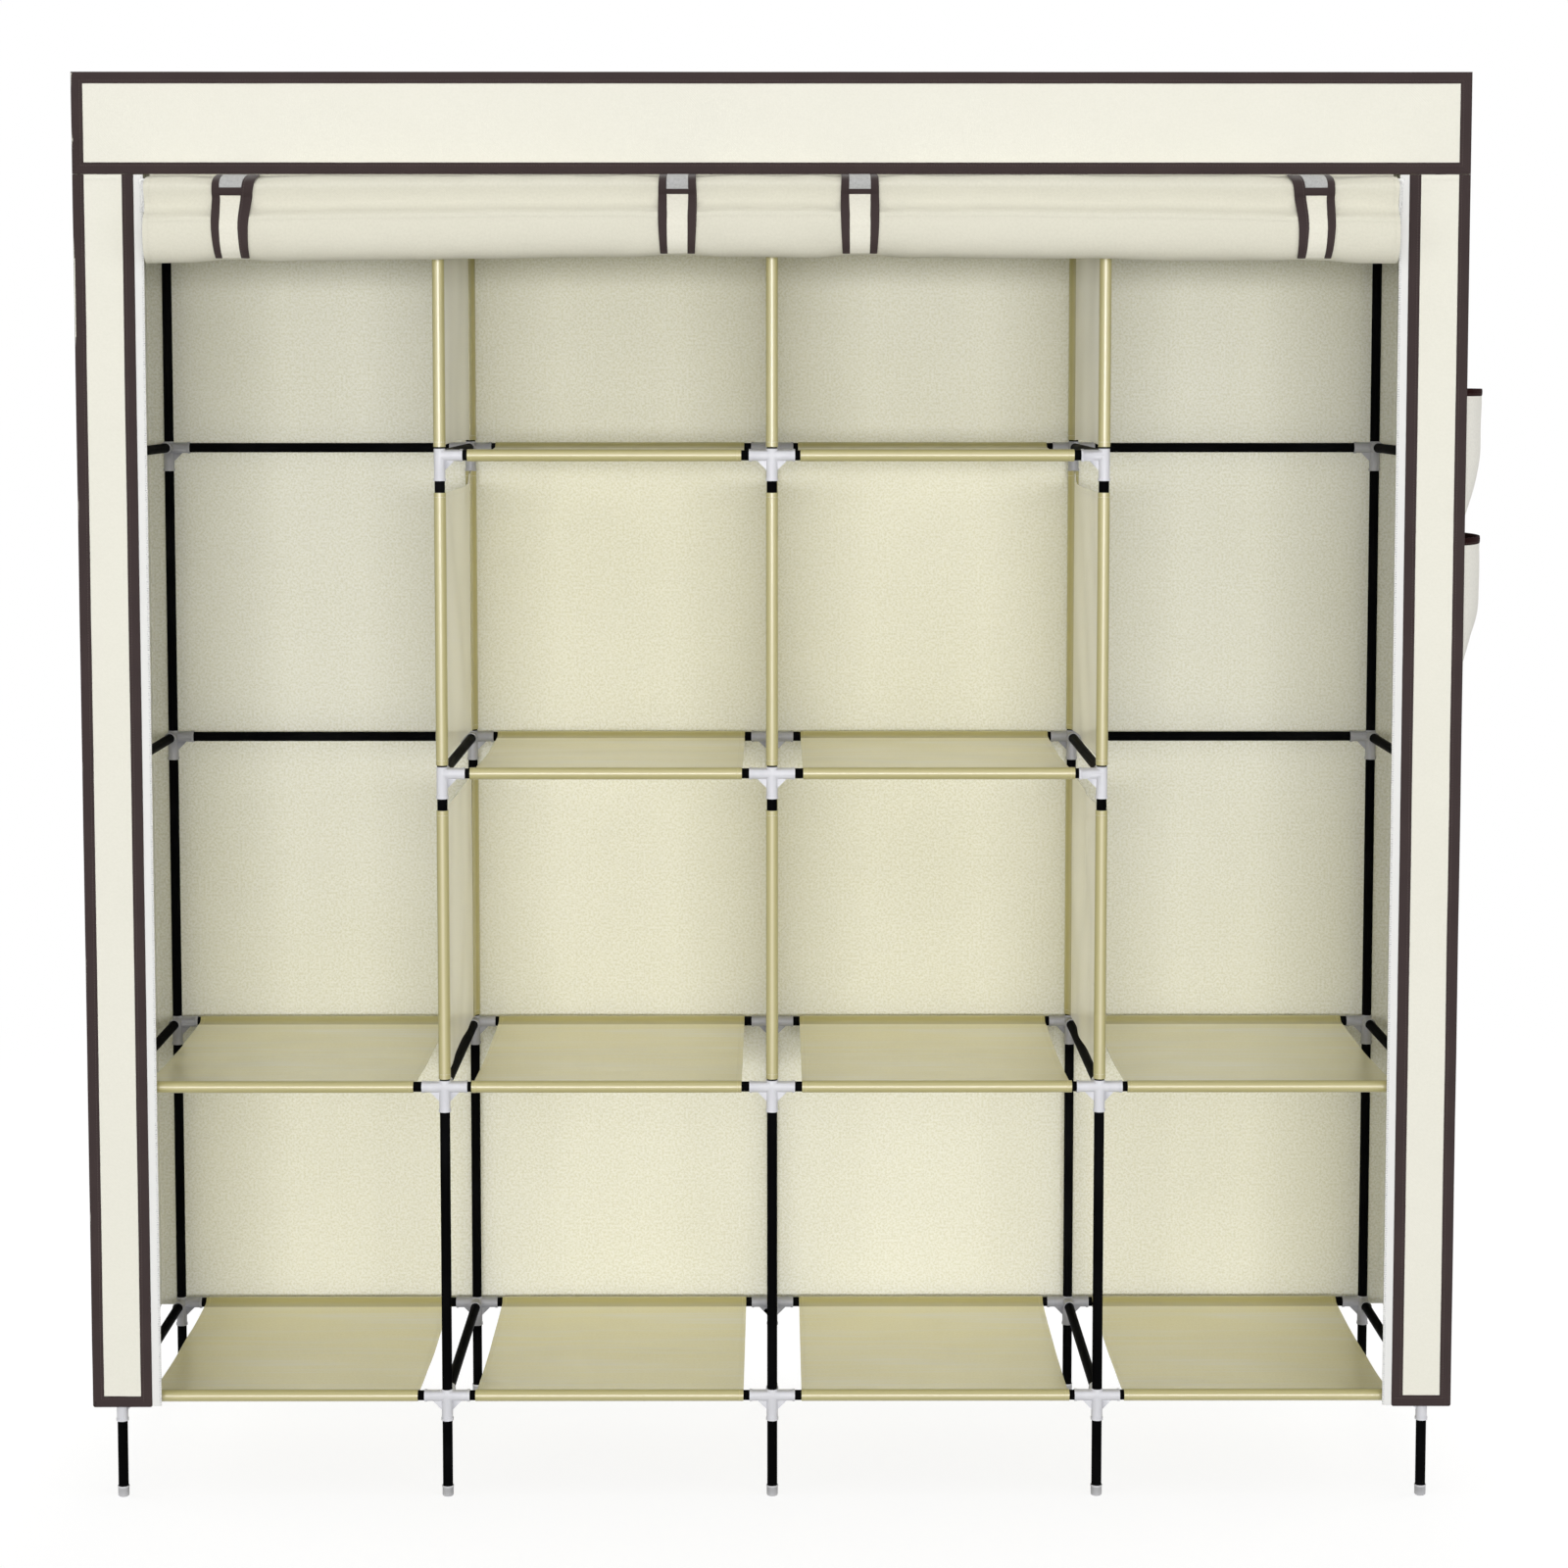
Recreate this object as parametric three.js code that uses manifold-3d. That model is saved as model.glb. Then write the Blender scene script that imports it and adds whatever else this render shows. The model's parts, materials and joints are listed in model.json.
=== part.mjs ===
// A portable fabric wardrobe: a steel tube frame with plastic joints, cloth shelves and partitions, and a
// sewn cover with its front door rolled up. Millimetres, +Z up, the front faces -Y, the floor is at zero.
import * as THREE from "three";
import { mergeVertices } from "three/addons/utils/BufferGeometryUtils.js";
import Module from "manifold-3d";

const wasm = await Module();
wasm.setup();

// Frame: columns of posts, front and rear, with rails at five levels
const bayCount = 4;
const bayWidth = 409;
const postSpan = 410;
const bottomLevel = 129;
const storeyHeight = 394;
const topStoreyHeight = 455;
const tubeDiameter = 12.7;
const tubeWall = 0.8;
const fitClearance = 0.3;

// Joint: a sleeve round the post with one socket arm for each rail
const jointDiameter = 15.7;
const jointArmReach = 28.5;
const jointDownReach = 31.5;
const jointHeadReach = 8.4;
const webLeg = 16;
const webThickness = 3;

// Foot cap: a cup on the lower end of each post
const capDiameter = 14.9;
const capHeight = 13.7;
const capFloor = 3;
const capEdge = 1;

// Hanging rods in the outer bays, held below the depth rails of the top level by clips
const rodDrop = 22;
const clipThickness = 4;

// Cloth
const clothThickness = 1;
const shelfThickness = 1.2;
const sleeveWall = 1;
const shelfEndGap = 36;
const partitionFootGap = 2;
const partitionHeadGap = 14.5;

// Cover
const coverSideMargin = 32;
const coverFrontMargin = 20;
const hemHeight = 121;
const bandHeight = 122;
const stripWidth = 73;
const zipTapeWidth = 12;
const zipTapeThickness = 0.6;
const bindingWidth = 12;
const bindingRaise = 0.6;

// Door: a header that bulges from the seam and a roll that hangs below it
const doorEndGap = 8;
const rollDepth = 60;
const rollHeight = 67;
const rollBackGap = 0.9;
const rollLayerThickness = 9;
const rollDroop = 8;
const headerHeight = 35;
const headerThickness = 1;
const headerSeam = 5;
const headerBulge = 5;
const rollPinchShare = 0.07;
const rollStepShare = 0.04;
const headerLineShares = [[0, 0.06], [0.5, 0.2], [1, 0.5]];

// Straps that hold the roll
const strapWidth = 46;
const strapThickness = 1.2;
const strapPinchFade = 45;
const strapPlaceShares = [-0.766, -0.134, 0.125, 0.771];
const strapWrapDegrees = [20, 0, -20, -40, -60];

// Zip slider
const sliderWidth = 10;
const sliderHeight = 13;
const sliderThickness = 4;
const pullWidth = 6;
const pullLength = 28;
const pullThickness = 1.5;
const pullLink = 3;
const sliderTopGap = 6;

// Side pockets on the right
const pocketRowLength = 400;
const pocketHeight = 182;
const pocketReach = 46;
const pocketRowGap = 2;
const pocketTop = 1387;
const pocketThickness = 1;
const pocketsPerRow = 2;
const pocketAcrossShare = 0.6;
const pocketUpShare = 0.8;

// How far a cut reaches past what it cuts
const cutOverrun = 5;

// Fineness of the faceted shapes, in counts
const roundSides = 8;
const rollSides = 18;
const pocketColumns = 12;
const pocketRows = 6;
const headerColumns = 8;
const headerRows = 8;
const strapRows = 14;

// Worked out from the sizes above
const columnCount = bayCount + 1;
const tubeRadius = tubeDiameter / 2;
const jointRadius = jointDiameter / 2;
const boreRadius = tubeRadius + fitClearance;
const frontY = -postSpan / 2;
const rearY = postSpan / 2;
const columnX = (column) => (column - bayCount / 2) * bayWidth;
const levels = {
  bottom: bottomLevel,
  lower: bottomLevel + storeyHeight,
  middle: bottomLevel + 2 * storeyHeight,
  upper: bottomLevel + 3 * storeyHeight,
  top: bottomLevel + 3 * storeyHeight + topStoreyHeight,
};
const coverHalfWidth = (bayCount * bayWidth) / 2 + coverSideMargin;
const coverHalfDepth = postSpan / 2 + coverFrontMargin;
const roofUnderside = levels.top + jointHeadReach + fitClearance;
const roofTop = roofUnderside + clothThickness;
const bandFoot = roofTop - bandHeight;
const coverFront = -coverHalfDepth;
const bindingFront = coverFront - bindingRaise;
const doorPlane = coverFront + clothThickness / 2;

const material = (color, roughness, metalness = 0) =>
  new THREE.MeshStandardMaterial({ color, roughness, metalness });
const blackTube = () => material(0x151517, 0.35, 0.4);
const greyPlastic = () => material(0xb4b4b8, 0.5);
const creamCloth = () => material(0xf0efe2, 0.9);
const khakiCloth = () => material(0xcfc79f, 0.9);
const partitionCloth = () => material(0xe4decd, 0.9);
const doorCloth = () => material(0xe1ddcb, 0.9);
const strapCloth = () => material(0x3c3030, 0.9);
const zipMetal = () => material(0xc9c9cc, 0.35, 0.8);

const axisBasis = {
  x: new THREE.Matrix4().makeBasis(
    new THREE.Vector3(0, 1, 0), new THREE.Vector3(0, 0, 1), new THREE.Vector3(1, 0, 0)),
  y: new THREE.Matrix4().makeBasis(
    new THREE.Vector3(0, 0, 1), new THREE.Vector3(1, 0, 0), new THREE.Vector3(0, 1, 0)),
  z: new THREE.Matrix4(),
};

// The corners of a regular polygon round a centre
function ring(centreU, centreV, radius, sides = roundSides) {
  return Array.from({ length: sides }, (_, i) => {
    const angle = (i * 2 * Math.PI) / sides;
    return new THREE.Vector2(centreU + radius * Math.cos(angle), centreV + radius * Math.sin(angle));
  });
}

// A section pushed along an axis. The section's plane is (y, z) for x, (z, x) for y and (x, y) for z.
function prism(axis, outline, start, end, holes = []) {
  const clockwise = THREE.ShapeUtils.isClockWise(outline);
  const shape = new THREE.Shape(clockwise ? [...outline].reverse() : outline);
  shape.holes = holes.map((hole) => new THREE.Path(hole));
  const geometry = new THREE.ExtrudeGeometry(shape, { depth: end - start, bevelEnabled: false });
  geometry.translate(0, 0, start);
  return geometry.applyMatrix4(axisBasis[axis]);
}

// A box between two opposite corners
function block(low, high) {
  const size = high.map((value, i) => value - low[i]);
  const middle = high.map((value, i) => (value + low[i]) / 2);
  return new THREE.BoxGeometry(...size).translate(...middle);
}

function welded(geometry) {
  const bare = geometry.clone();
  bare.deleteAttribute("normal");
  bare.deleteAttribute("uv");
  return mergeVertices(bare);
}

function toSolid(geometry) {
  const closed = welded(geometry);
  return new wasm.Manifold(new wasm.Mesh({
    numProp: 3,
    vertProperties: closed.getAttribute("position").array,
    triVerts: new Uint32Array(closed.index.array),
  }));
}

function toGeometry(solid) {
  const mesh = solid.getMesh();
  const geometry = new THREE.BufferGeometry();
  geometry.setAttribute("position", new THREE.BufferAttribute(mesh.vertProperties, mesh.numProp));
  geometry.setIndex(new THREE.BufferAttribute(mesh.triVerts, 1));
  geometry.computeVertexNormals();
  return geometry;
}

// One body made of overlapping pieces, less the pieces to cut away
function joined(pieces, cuts = []) {
  const body = pieces.map(toSolid).reduce((sum, piece) => sum.add(piece));
  return toGeometry(cuts.map(toSolid).reduce((rest, cut) => rest.subtract(cut), body));
}

// A closed cloth of even thickness. place(u, v) gives its middle surface for u and v from 0 to 1.
function clothSolid(columns, rows, thickness, place) {
  const positions = [];
  const index = [];
  const nudge = 1e-3;
  for (const side of [1, -1]) {
    for (let i = 0; i <= columns; i += 1) {
      for (let j = 0; j <= rows; j += 1) {
        const u = i / columns;
        const v = j / rows;
        const alongU = place(Math.min(u + nudge, 1), v).sub(place(Math.max(u - nudge, 0), v));
        const alongV = place(u, Math.min(v + nudge, 1)).sub(place(u, Math.max(v - nudge, 0)));
        const normal = alongU.cross(alongV).normalize();
        positions.push(...place(u, v).addScaledVector(normal, (side * thickness) / 2).toArray());
      }
    }
  }
  const layer = (columns + 1) * (rows + 1);
  const at = (i, j, back) => i * (rows + 1) + j + (back ? layer : 0);
  const quad = (a, b, c, d) => index.push(a, b, c, a, c, d);
  for (let i = 0; i < columns; i += 1) {
    for (let j = 0; j < rows; j += 1) {
      quad(at(i, j), at(i + 1, j), at(i + 1, j + 1), at(i, j + 1));
      quad(at(i, j, true), at(i, j + 1, true), at(i + 1, j + 1, true), at(i + 1, j, true));
    }
  }
  for (let i = 0; i < columns; i += 1) {
    quad(at(i, 0, true), at(i + 1, 0, true), at(i + 1, 0), at(i, 0));
    quad(at(i, rows), at(i + 1, rows), at(i + 1, rows, true), at(i, rows, true));
  }
  for (let j = 0; j < rows; j += 1) {
    quad(at(0, j), at(0, j + 1), at(0, j + 1, true), at(0, j, true));
    quad(at(columns, j, true), at(columns, j + 1, true), at(columns, j + 1), at(columns, j));
  }
  const geometry = new THREE.BufferGeometry();
  geometry.setAttribute("position", new THREE.Float32BufferAttribute(positions, 3));
  geometry.setIndex(index);
  geometry.computeVertexNormals();
  return geometry;
}

// Joint

function jointPieces(column, row, railSides) {
  const x = columnX(column);
  const y = row === "front" ? frontY : rearY;
  const inward = row === "front" ? 1 : -1;
  const pieces = [prism("z", ring(x, y, jointRadius), -jointDownReach, jointHeadReach)];
  const [near, far] = [y, y + inward * jointArmReach].sort((a, b) => a - b);
  pieces.push(prism("y", ring(0, x, jointRadius), near, far));
  for (const side of railSides) {
    const [start, end] = [x, x + side * jointArmReach].sort((a, b) => a - b);
    pieces.push(prism("x", ring(y, 0, jointRadius), start, end));
    pieces.push(web(x, y, side));
  }
  return pieces;
}

// The triangular web between an arm and the lower end of the sleeve
function web(x, y, side) {
  const root = x + (side * (boreRadius + jointRadius)) / 2;
  const tip = x + side * (jointRadius + webLeg);
  const outline = [
    new THREE.Vector2(-jointRadius - webLeg, root),
    new THREE.Vector2(-tubeRadius / 2, root),
    new THREE.Vector2(-tubeRadius / 2, tip),
    new THREE.Vector2(-tubeRadius, tip),
  ];
  return prism("y", outline, y - webThickness / 2, y + webThickness / 2);
}

function postBore(column, row, top) {
  const y = row === "front" ? frontY : rearY;
  return prism("z", ring(columnX(column), y, boreRadius), -jointDownReach - cutOverrun, top);
}

// Level frame: joints, rails and depth rails of one level, pushed together

function railBays(row, level) {
  const outerBaysOpen = row === "front" && (level === "upper" || level === "middle");
  const bays = Array.from({ length: bayCount }, (_, bay) => bay);
  return outerBaysOpen ? bays.slice(1, -1) : bays;
}

function levelFrame(level) {
  const pieces = [];
  const cuts = [];
  const boreTop = level === "top" ? boreRadius : jointHeadReach + cutOverrun;
  for (const row of ["front", "rear"]) {
    const y = row === "front" ? frontY : rearY;
    const bays = railBays(row, level);
    for (let column = 0; column < columnCount; column += 1) {
      const sides = [bays.includes(column - 1) && -1, bays.includes(column) && 1].filter(Boolean);
      pieces.push(...jointPieces(column, row, sides));
      cuts.push(postBore(column, row, boreTop));
    }
    const first = columnX(bays[0]);
    const last = columnX(bays[bays.length - 1] + 1);
    pieces.push(prism("x", ring(y, 0, tubeRadius), first, last));
  }
  for (let column = 0; column < columnCount; column += 1) {
    pieces.push(prism("y", ring(0, columnX(column), tubeRadius), frontY, rearY));
  }
  if (level === "top") {
    for (const bay of [0, bayCount - 1]) {
      pieces.push(...hangingRod(bay));
    }
  }
  return joined(pieces, cuts);
}

// A rod below two depth rails, with a clip at each end that goes round the depth rail
function hangingRod(bay) {
  const start = columnX(bay);
  const end = columnX(bay + 1);
  const clips = [start, end].flatMap((x) => [
    prism("y", ring(0, x, jointRadius), -jointRadius, jointRadius),
    block(
      [x - clipThickness / 2, -tubeRadius, -rodDrop - jointRadius],
      [x + clipThickness / 2, tubeRadius, -tubeRadius / 2]),
  ]);
  return [prism("x", ring(0, -rodDrop, tubeRadius), start, end), ...clips];
}

// Post and foot cap

function postGeometry() {
  const start = capFloor + fitClearance;
  const end = levels.top + tubeRadius;
  return prism("z", ring(0, 0, tubeRadius), start, end, [ring(0, 0, tubeRadius - tubeWall)]);
}

function capGeometry() {
  const outer = capDiameter / 2;
  const profile = [
    [0, 0], [outer - capEdge, 0], [outer, capEdge], [outer, capHeight],
    [boreRadius, capHeight], [boreRadius, capFloor], [0, capFloor],
  ].map(([radius, height]) => new THREE.Vector2(radius, height));
  return new THREE.LatheGeometry(profile, roundSides).rotateX(Math.PI / 2);
}

// Shelf and partition: a cloth panel with a sleeve along each end

const sleeveRadius = boreRadius + sleeveWall;

// The corners of a sleeve, counted round from the one that points along +v
function sleeveCorners(centreU, inward) {
  return Array.from({ length: roundSides + 1 }, (_, i) => {
    const angle = (i * 2 * Math.PI) / roundSides;
    return new THREE.Vector2(
      centreU - inward * sleeveRadius * Math.sin(angle), sleeveRadius * Math.cos(angle));
  });
}

// The sleeve's outline from its top round the far side to the panel's underside at height foot
function sleeveUnderPanel(centreU, inward, foot) {
  const corners = sleeveCorners(centreU, inward);
  const last = corners.findLastIndex((corner) => corner.y < foot);
  const share = (foot - corners[last].y) / (corners[last + 1].y - corners[last].y);
  const meeting = corners[last].clone().lerp(corners[last + 1], share);
  return [...corners.slice(0, last + 1), meeting];
}

function shelfGeometry() {
  const half = bayWidth / 2 - shelfEndGap;
  const foot = sleeveRadius - shelfThickness;
  const front = sleeveUnderPanel(frontY, 1, foot);
  const rear = sleeveUnderPanel(rearY, -1, foot);
  const bores = [frontY, rearY].map((y) => ring(y, 0, boreRadius));
  return prism("x", [...front, ...rear.reverse()], -half, half, bores);
}

function partitionGeometry(height) {
  const half = clothThickness / 2;
  const meeting = sleeveRadius - half * Math.tan(Math.PI / roundSides);
  const sides = [[frontY, 1], [rearY, -1]].flatMap(([y, inward]) => {
    const start = inward > 0 ? Math.PI / 2 : -Math.PI / 2;
    const round = Array.from({ length: roundSides - 1 }, (_, i) => {
      const angle = start + ((i + 1) * 2 * Math.PI) / roundSides;
      return new THREE.Vector2(sleeveRadius * Math.cos(angle), y + sleeveRadius * Math.sin(angle));
    });
    const seam = y + inward * meeting;
    return [new THREE.Vector2(-inward * half, seam), ...round, new THREE.Vector2(inward * half, seam)];
  });
  const bores = [frontY, rearY].map((y) => ring(0, y, boreRadius));
  return prism("z", sides, 0, height, bores);
}

// Cover

// Binding wraps the edges of a front panel. Without a head it leaves the panel's upper edge free.
function binding(left, right, foot, head, withHead) {
  const corners = (grow, top) => [
    new THREE.Vector2(top, left - grow),
    new THREE.Vector2(foot - grow, left - grow),
    new THREE.Vector2(foot - grow, right + grow),
    new THREE.Vector2(top, right + grow),
  ];
  const outer = corners(bindingRaise, withHead ? head + bindingRaise : head - fitClearance);
  const inner = corners(-bindingWidth, withHead ? head - bindingWidth : head - fitClearance);
  const back = coverFront + clothThickness / 2;
  if (withHead) {
    return prism("y", outer, bindingFront, back, [inner]);
  }
  return prism("y", [...outer, ...inner.reverse()], bindingFront, back);
}

function roofGeometry() {
  const section = [
    [coverFront, bandFoot],
    [coverFront + clothThickness, bandFoot],
    [coverFront + clothThickness, roofUnderside],
    [coverHalfDepth, roofUnderside],
    [coverHalfDepth, roofTop],
    [coverFront, roofTop],
  ].map(([y, z]) => new THREE.Vector2(y, z));
  const roof = prism("x", section, -coverHalfWidth, coverHalfWidth);
  return joined([roof, binding(-coverHalfWidth, coverHalfWidth, bandFoot, roofTop, true)]);
}

function backGeometry() {
  return block(
    [-coverHalfWidth, coverHalfDepth - clothThickness, hemHeight],
    [coverHalfWidth, coverHalfDepth, roofUnderside - fitClearance]);
}

// The left side panel with its front strip and zip tape. The right one is its mirror image.
function sideGeometry(side) {
  const outer = -coverHalfWidth;
  const stripInner = outer + stripWidth;
  const stripHead = bandFoot - bindingRaise - fitClearance;
  const wallRear = coverHalfDepth - clothThickness - fitClearance;
  const wallHead = roofUnderside - fitClearance;
  const section = [
    [outer, wallRear],
    [outer, coverFront],
    [stripInner, coverFront],
    [stripInner, coverFront + clothThickness],
    [outer + clothThickness, coverFront + clothThickness],
    [outer + clothThickness, wallRear],
  ].map(([x, y]) => new THREE.Vector2(x, y));
  const panel = prism("z", section, hemHeight, wallHead);
  const bandRoom = block(
    [outer - cutOverrun, coverFront - cutOverrun, stripHead],
    [stripInner + cutOverrun, coverFront + clothThickness + fitClearance, wallHead + cutOverrun]);
  const tape = block(
    [stripInner - bindingWidth / 2, doorPlane - zipTapeThickness / 2, hemHeight + fitClearance],
    [stripInner + zipTapeWidth, doorPlane + zipTapeThickness / 2, stripHead - fitClearance]);
  const edge = binding(outer, stripInner, hemHeight, stripHead, false);
  const body = joined([joined([panel], [bandRoom]), tape, edge]);
  return side < 0 ? body : mirrored(body);
}

function mirrored(geometry) {
  const copy = geometry.clone().scale(-1, 1, 1);
  const order = copy.index.array;
  for (let i = 0; i < order.length; i += 3) {
    [order[i], order[i + 1]] = [order[i + 1], order[i]];
  }
  copy.computeVertexNormals();
  return copy;
}

// Door

const doorHalfLength = coverHalfWidth - stripWidth - zipTapeWidth - doorEndGap;
const rollCentreY = frontY - jointRadius - rollBackGap - rollDepth / 2;
const rollCentreZ = bandFoot - headerHeight - rollHeight / 2;
const strapPlaces = strapPlaceShares.map((share) => share * coverHalfWidth);

// How far the roll hangs lower at x than at its middle
const droop = (x) => rollDroop * (x / doorHalfLength) ** 2;

// How much the straps draw the roll in at x: 1 under a strap, fading to 0 beside it
function pinch(x) {
  return Math.max(...strapPlaces.map((place) => {
    const beside = Math.abs(x - place) - strapWidth / 2;
    return 1 - THREE.MathUtils.smoothstep(beside, 0, strapPinchFade);
  }));
}

// A point of the roll's section at an angle from the front, with the loose edge of its last layer behind
function rollPoint(x, angle, inset) {
  const turned = THREE.MathUtils.euclideanModulo(angle - Math.PI, 2 * Math.PI) / (2 * Math.PI);
  const shrink = (1 - rollPinchShare * pinch(x)) * (1 - rollStepShare * turned);
  return new THREE.Vector3(
    x,
    rollCentreY - (shrink * rollDepth / 2 - inset) * Math.cos(angle),
    rollCentreZ - droop(x) + (shrink * rollHeight / 2 - inset) * Math.sin(angle));
}

function rollStations() {
  const edges = [-doorHalfLength, 0, doorHalfLength];
  for (const place of strapPlaces) {
    for (const side of [-1, 1]) {
      edges.push(place + (side * strapWidth) / 2);
      edges.push(place + side * (strapWidth + strapPinchFade) / 2);
      edges.push(place + side * (strapWidth / 2 + strapPinchFade));
    }
  }
  return edges.filter((x) => Math.abs(x) <= doorHalfLength).sort((a, b) => a - b);
}

// The roll is hollow and open at both ends, as loosely rolled cloth is
function rollGeometry() {
  const stations = rollStations();
  const positions = [];
  const index = [];
  const rings = [
    ...stations.map((x) => [x, 0]),
    [doorHalfLength, rollLayerThickness],
    [-doorHalfLength, rollLayerThickness],
  ];
  for (const [x, inset] of rings) {
    for (let i = 0; i < rollSides; i += 1) {
      positions.push(...rollPoint(x, (i * 2 * Math.PI) / rollSides, inset).toArray());
    }
  }
  for (let a = 0; a < rings.length; a += 1) {
    const b = (a + 1) % rings.length;
    for (let i = 0; i < rollSides; i += 1) {
      const j = (i + 1) % rollSides;
      const corners = [a * rollSides + i, b * rollSides + i, b * rollSides + j, a * rollSides + j];
      index.push(corners[0], corners[1], corners[2], corners[0], corners[2], corners[3]);
    }
  }
  const geometry = new THREE.BufferGeometry();
  geometry.setAttribute("position", new THREE.Float32BufferAttribute(positions, 3));
  geometry.setIndex(index);
  geometry.computeVertexNormals();
  return geometry;
}

// The header's middle line in the (y, z) plane. It is sewn inside the band, bulges out below it and ends in
// the valley above the roll.
const headerFoot = rollPoint(0, Math.PI / 3, 0);
const headerBack = coverFront + clothThickness + fitClearance + headerThickness / 2;
const headerFront = headerFoot.y - headerBulge;
const headerLine = new THREE.SplineCurve([
  new THREE.Vector2(headerBack, bandFoot + headerSeam),
  ...headerLineShares.map(([out, down]) => new THREE.Vector2(
    THREE.MathUtils.lerp(headerBack, headerFront, out), bandFoot - headerHeight * down)),
  new THREE.Vector2(headerFoot.y, headerFoot.z + fitClearance + headerThickness),
]);

function headerGeometry() {
  return clothSolid(headerColumns, headerRows, headerThickness, (u, v) => {
    const point = headerLine.getPoint(1 - v);
    const x = THREE.MathUtils.lerp(-doorHalfLength, doorHalfLength, u);
    return new THREE.Vector3(x, point.x, point.y - droop(x) * (1 - v));
  });
}

// A point of the strap's middle line where it lies on the header
function strapOverHeader(place, share) {
  const along = headerLine.getTangent(share);
  const lift = headerThickness / 2 + fitClearance + strapThickness;
  const point = headerLine.getPoint(share);
  return new THREE.Vector2(point.x + lift * along.y, point.y - lift * along.x - droop(place) * share);
}

// A strap runs from the seam over the header and the front of the roll, and ends under the roll
function strapGeometry(place) {
  const lift = fitClearance + strapThickness;
  const seam = new THREE.Vector2(
    bindingFront - strapThickness / 2, bandFoot - bindingRaise - fitClearance - strapThickness / 2);
  const wrap = strapWrapDegrees.map((degrees) => {
    const point = rollPoint(place, THREE.MathUtils.degToRad(degrees), -lift);
    return new THREE.Vector2(point.y, point.z);
  });
  const line = new THREE.SplineCurve([
    seam, strapOverHeader(place, 1 / 2), strapOverHeader(place, 3 / 4), ...wrap]);
  return clothSolid(1, strapRows, strapThickness, (u, v) => {
    const point = line.getPoint(1 - v);
    const x = THREE.MathUtils.lerp(place - strapWidth / 2, place + strapWidth / 2, u);
    return new THREE.Vector3(x, point.x, point.y);
  });
}

// Zip slider: a body on the front of the tape with a hanging pull

function sliderGeometry() {
  const back = doorPlane - zipTapeThickness / 2 - fitClearance;
  const front = back - sliderThickness;
  const head = bandFoot - sliderTopGap;
  const foot = head - sliderHeight;
  const pullFront = front - pullLink;
  const body = block([-sliderWidth / 2, front, foot], [sliderWidth / 2, back, head]);
  const link = block(
    [-pullWidth / 4, pullFront + pullThickness / 2, foot + pullLink],
    [pullWidth / 4, (front + back) / 2, foot + 2 * pullLink]);
  const pull = block(
    [-pullWidth / 2, pullFront, foot - pullLength],
    [pullWidth / 2, pullFront + pullThickness, foot + 3 * pullLink]);
  return joined([body, link, pull]);
}

// Pocket row: cloth that stands off the side panel at its mouth and is sewn down at its sides and foot

function pocketGeometry(foot) {
  const wallX = coverHalfWidth + fitClearance + pocketThickness;
  return clothSolid(pocketColumns, pocketRows, pocketThickness, (u, v) => {
    const across = Math.abs(Math.sin(pocketsPerRow * Math.PI * u)) ** pocketAcrossShare;
    const up = Math.sin((Math.PI / 2) * v) ** pocketUpShare;
    const y = (u - 1 / 2) * pocketRowLength;
    return new THREE.Vector3(wallX + pocketReach * across * up, y, foot + pocketHeight * v);
  });
}

// Assembly

const wardrobe = new THREE.Group();

function place(name, geometry, finish, x = 0, y = 0, z = 0) {
  const mesh = new THREE.Mesh(geometry, finish);
  mesh.name = name;
  mesh.position.set(x, y, z);
  wardrobe.add(mesh);
}

for (const [level, height] of Object.entries(levels)) {
  place(`${level}_frame`, levelFrame(level), blackTube(), 0, 0, height);
}
const post = postGeometry();
const cap = capGeometry();
for (const [row, y] of [["front", frontY], ["rear", rearY]]) {
  for (let column = 0; column < columnCount; column += 1) {
    place(`${row}_post_${column + 1}`, post, blackTube(), columnX(column), y);
    place(`${row}_foot_cap_${column + 1}`, cap, greyPlastic(), columnX(column), y);
  }
}

const shelf = shelfGeometry();
for (const level of ["bottom", "lower", "middle", "upper"]) {
  for (const bay of railBays("front", level)) {
    const middle = columnX(bay) + bayWidth / 2;
    place(`${level}_shelf_${bay + 1}`, shelf, khakiCloth(), middle, 0, levels[level]);
  }
}

for (const [storey, floor, ceiling] of [
  ["low", levels.lower, levels.middle],
  ["mid", levels.middle, levels.upper],
  ["high", levels.upper, levels.top],
]) {
  const foot = floor + jointHeadReach + partitionFootGap;
  const panel = partitionGeometry(ceiling - jointDownReach - partitionHeadGap - foot);
  for (let column = 1; column < bayCount; column += 1) {
    place(`${storey}_partition_${column + 1}`, panel, partitionCloth(), columnX(column), 0, foot);
  }
}

place("cover_roof", roofGeometry(), creamCloth());
place("cover_back", backGeometry(), creamCloth());
place("cover_side_left", sideGeometry(-1), creamCloth());
place("cover_side_right", sideGeometry(1), creamCloth());
place("door_roll", rollGeometry(), doorCloth());
place("door_header", headerGeometry(), doorCloth());
strapPlaces.forEach((x, i) => place(`strap_${i + 1}`, strapGeometry(x), strapCloth()));

const slider = sliderGeometry();
const zipX = coverHalfWidth - stripWidth - zipTapeWidth;
place("zip_slider_left", slider, zipMetal(), -zipX);
place("zip_slider_right", slider, zipMetal(), zipX);

for (const [name, row] of [["upper_pockets", 1], ["lower_pockets", 2]]) {
  const foot = pocketTop - row * pocketHeight - (row - 1) * pocketRowGap;
  place(name, pocketGeometry(foot), creamCloth());
}

// The origin is on the floor, in the middle of the whole object
const box = new THREE.Box3().setFromObject(wardrobe);
const middle = box.getCenter(new THREE.Vector3());
wardrobe.position.set(-middle.x, -middle.y, -box.min.z);

export default wardrobe;
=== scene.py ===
"""A portable fabric wardrobe with its door rolled up, dressed for its portrait.

Metres, +Z up, the front faces -Y and the floor is at zero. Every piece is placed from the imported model.
"""

import sys

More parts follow.
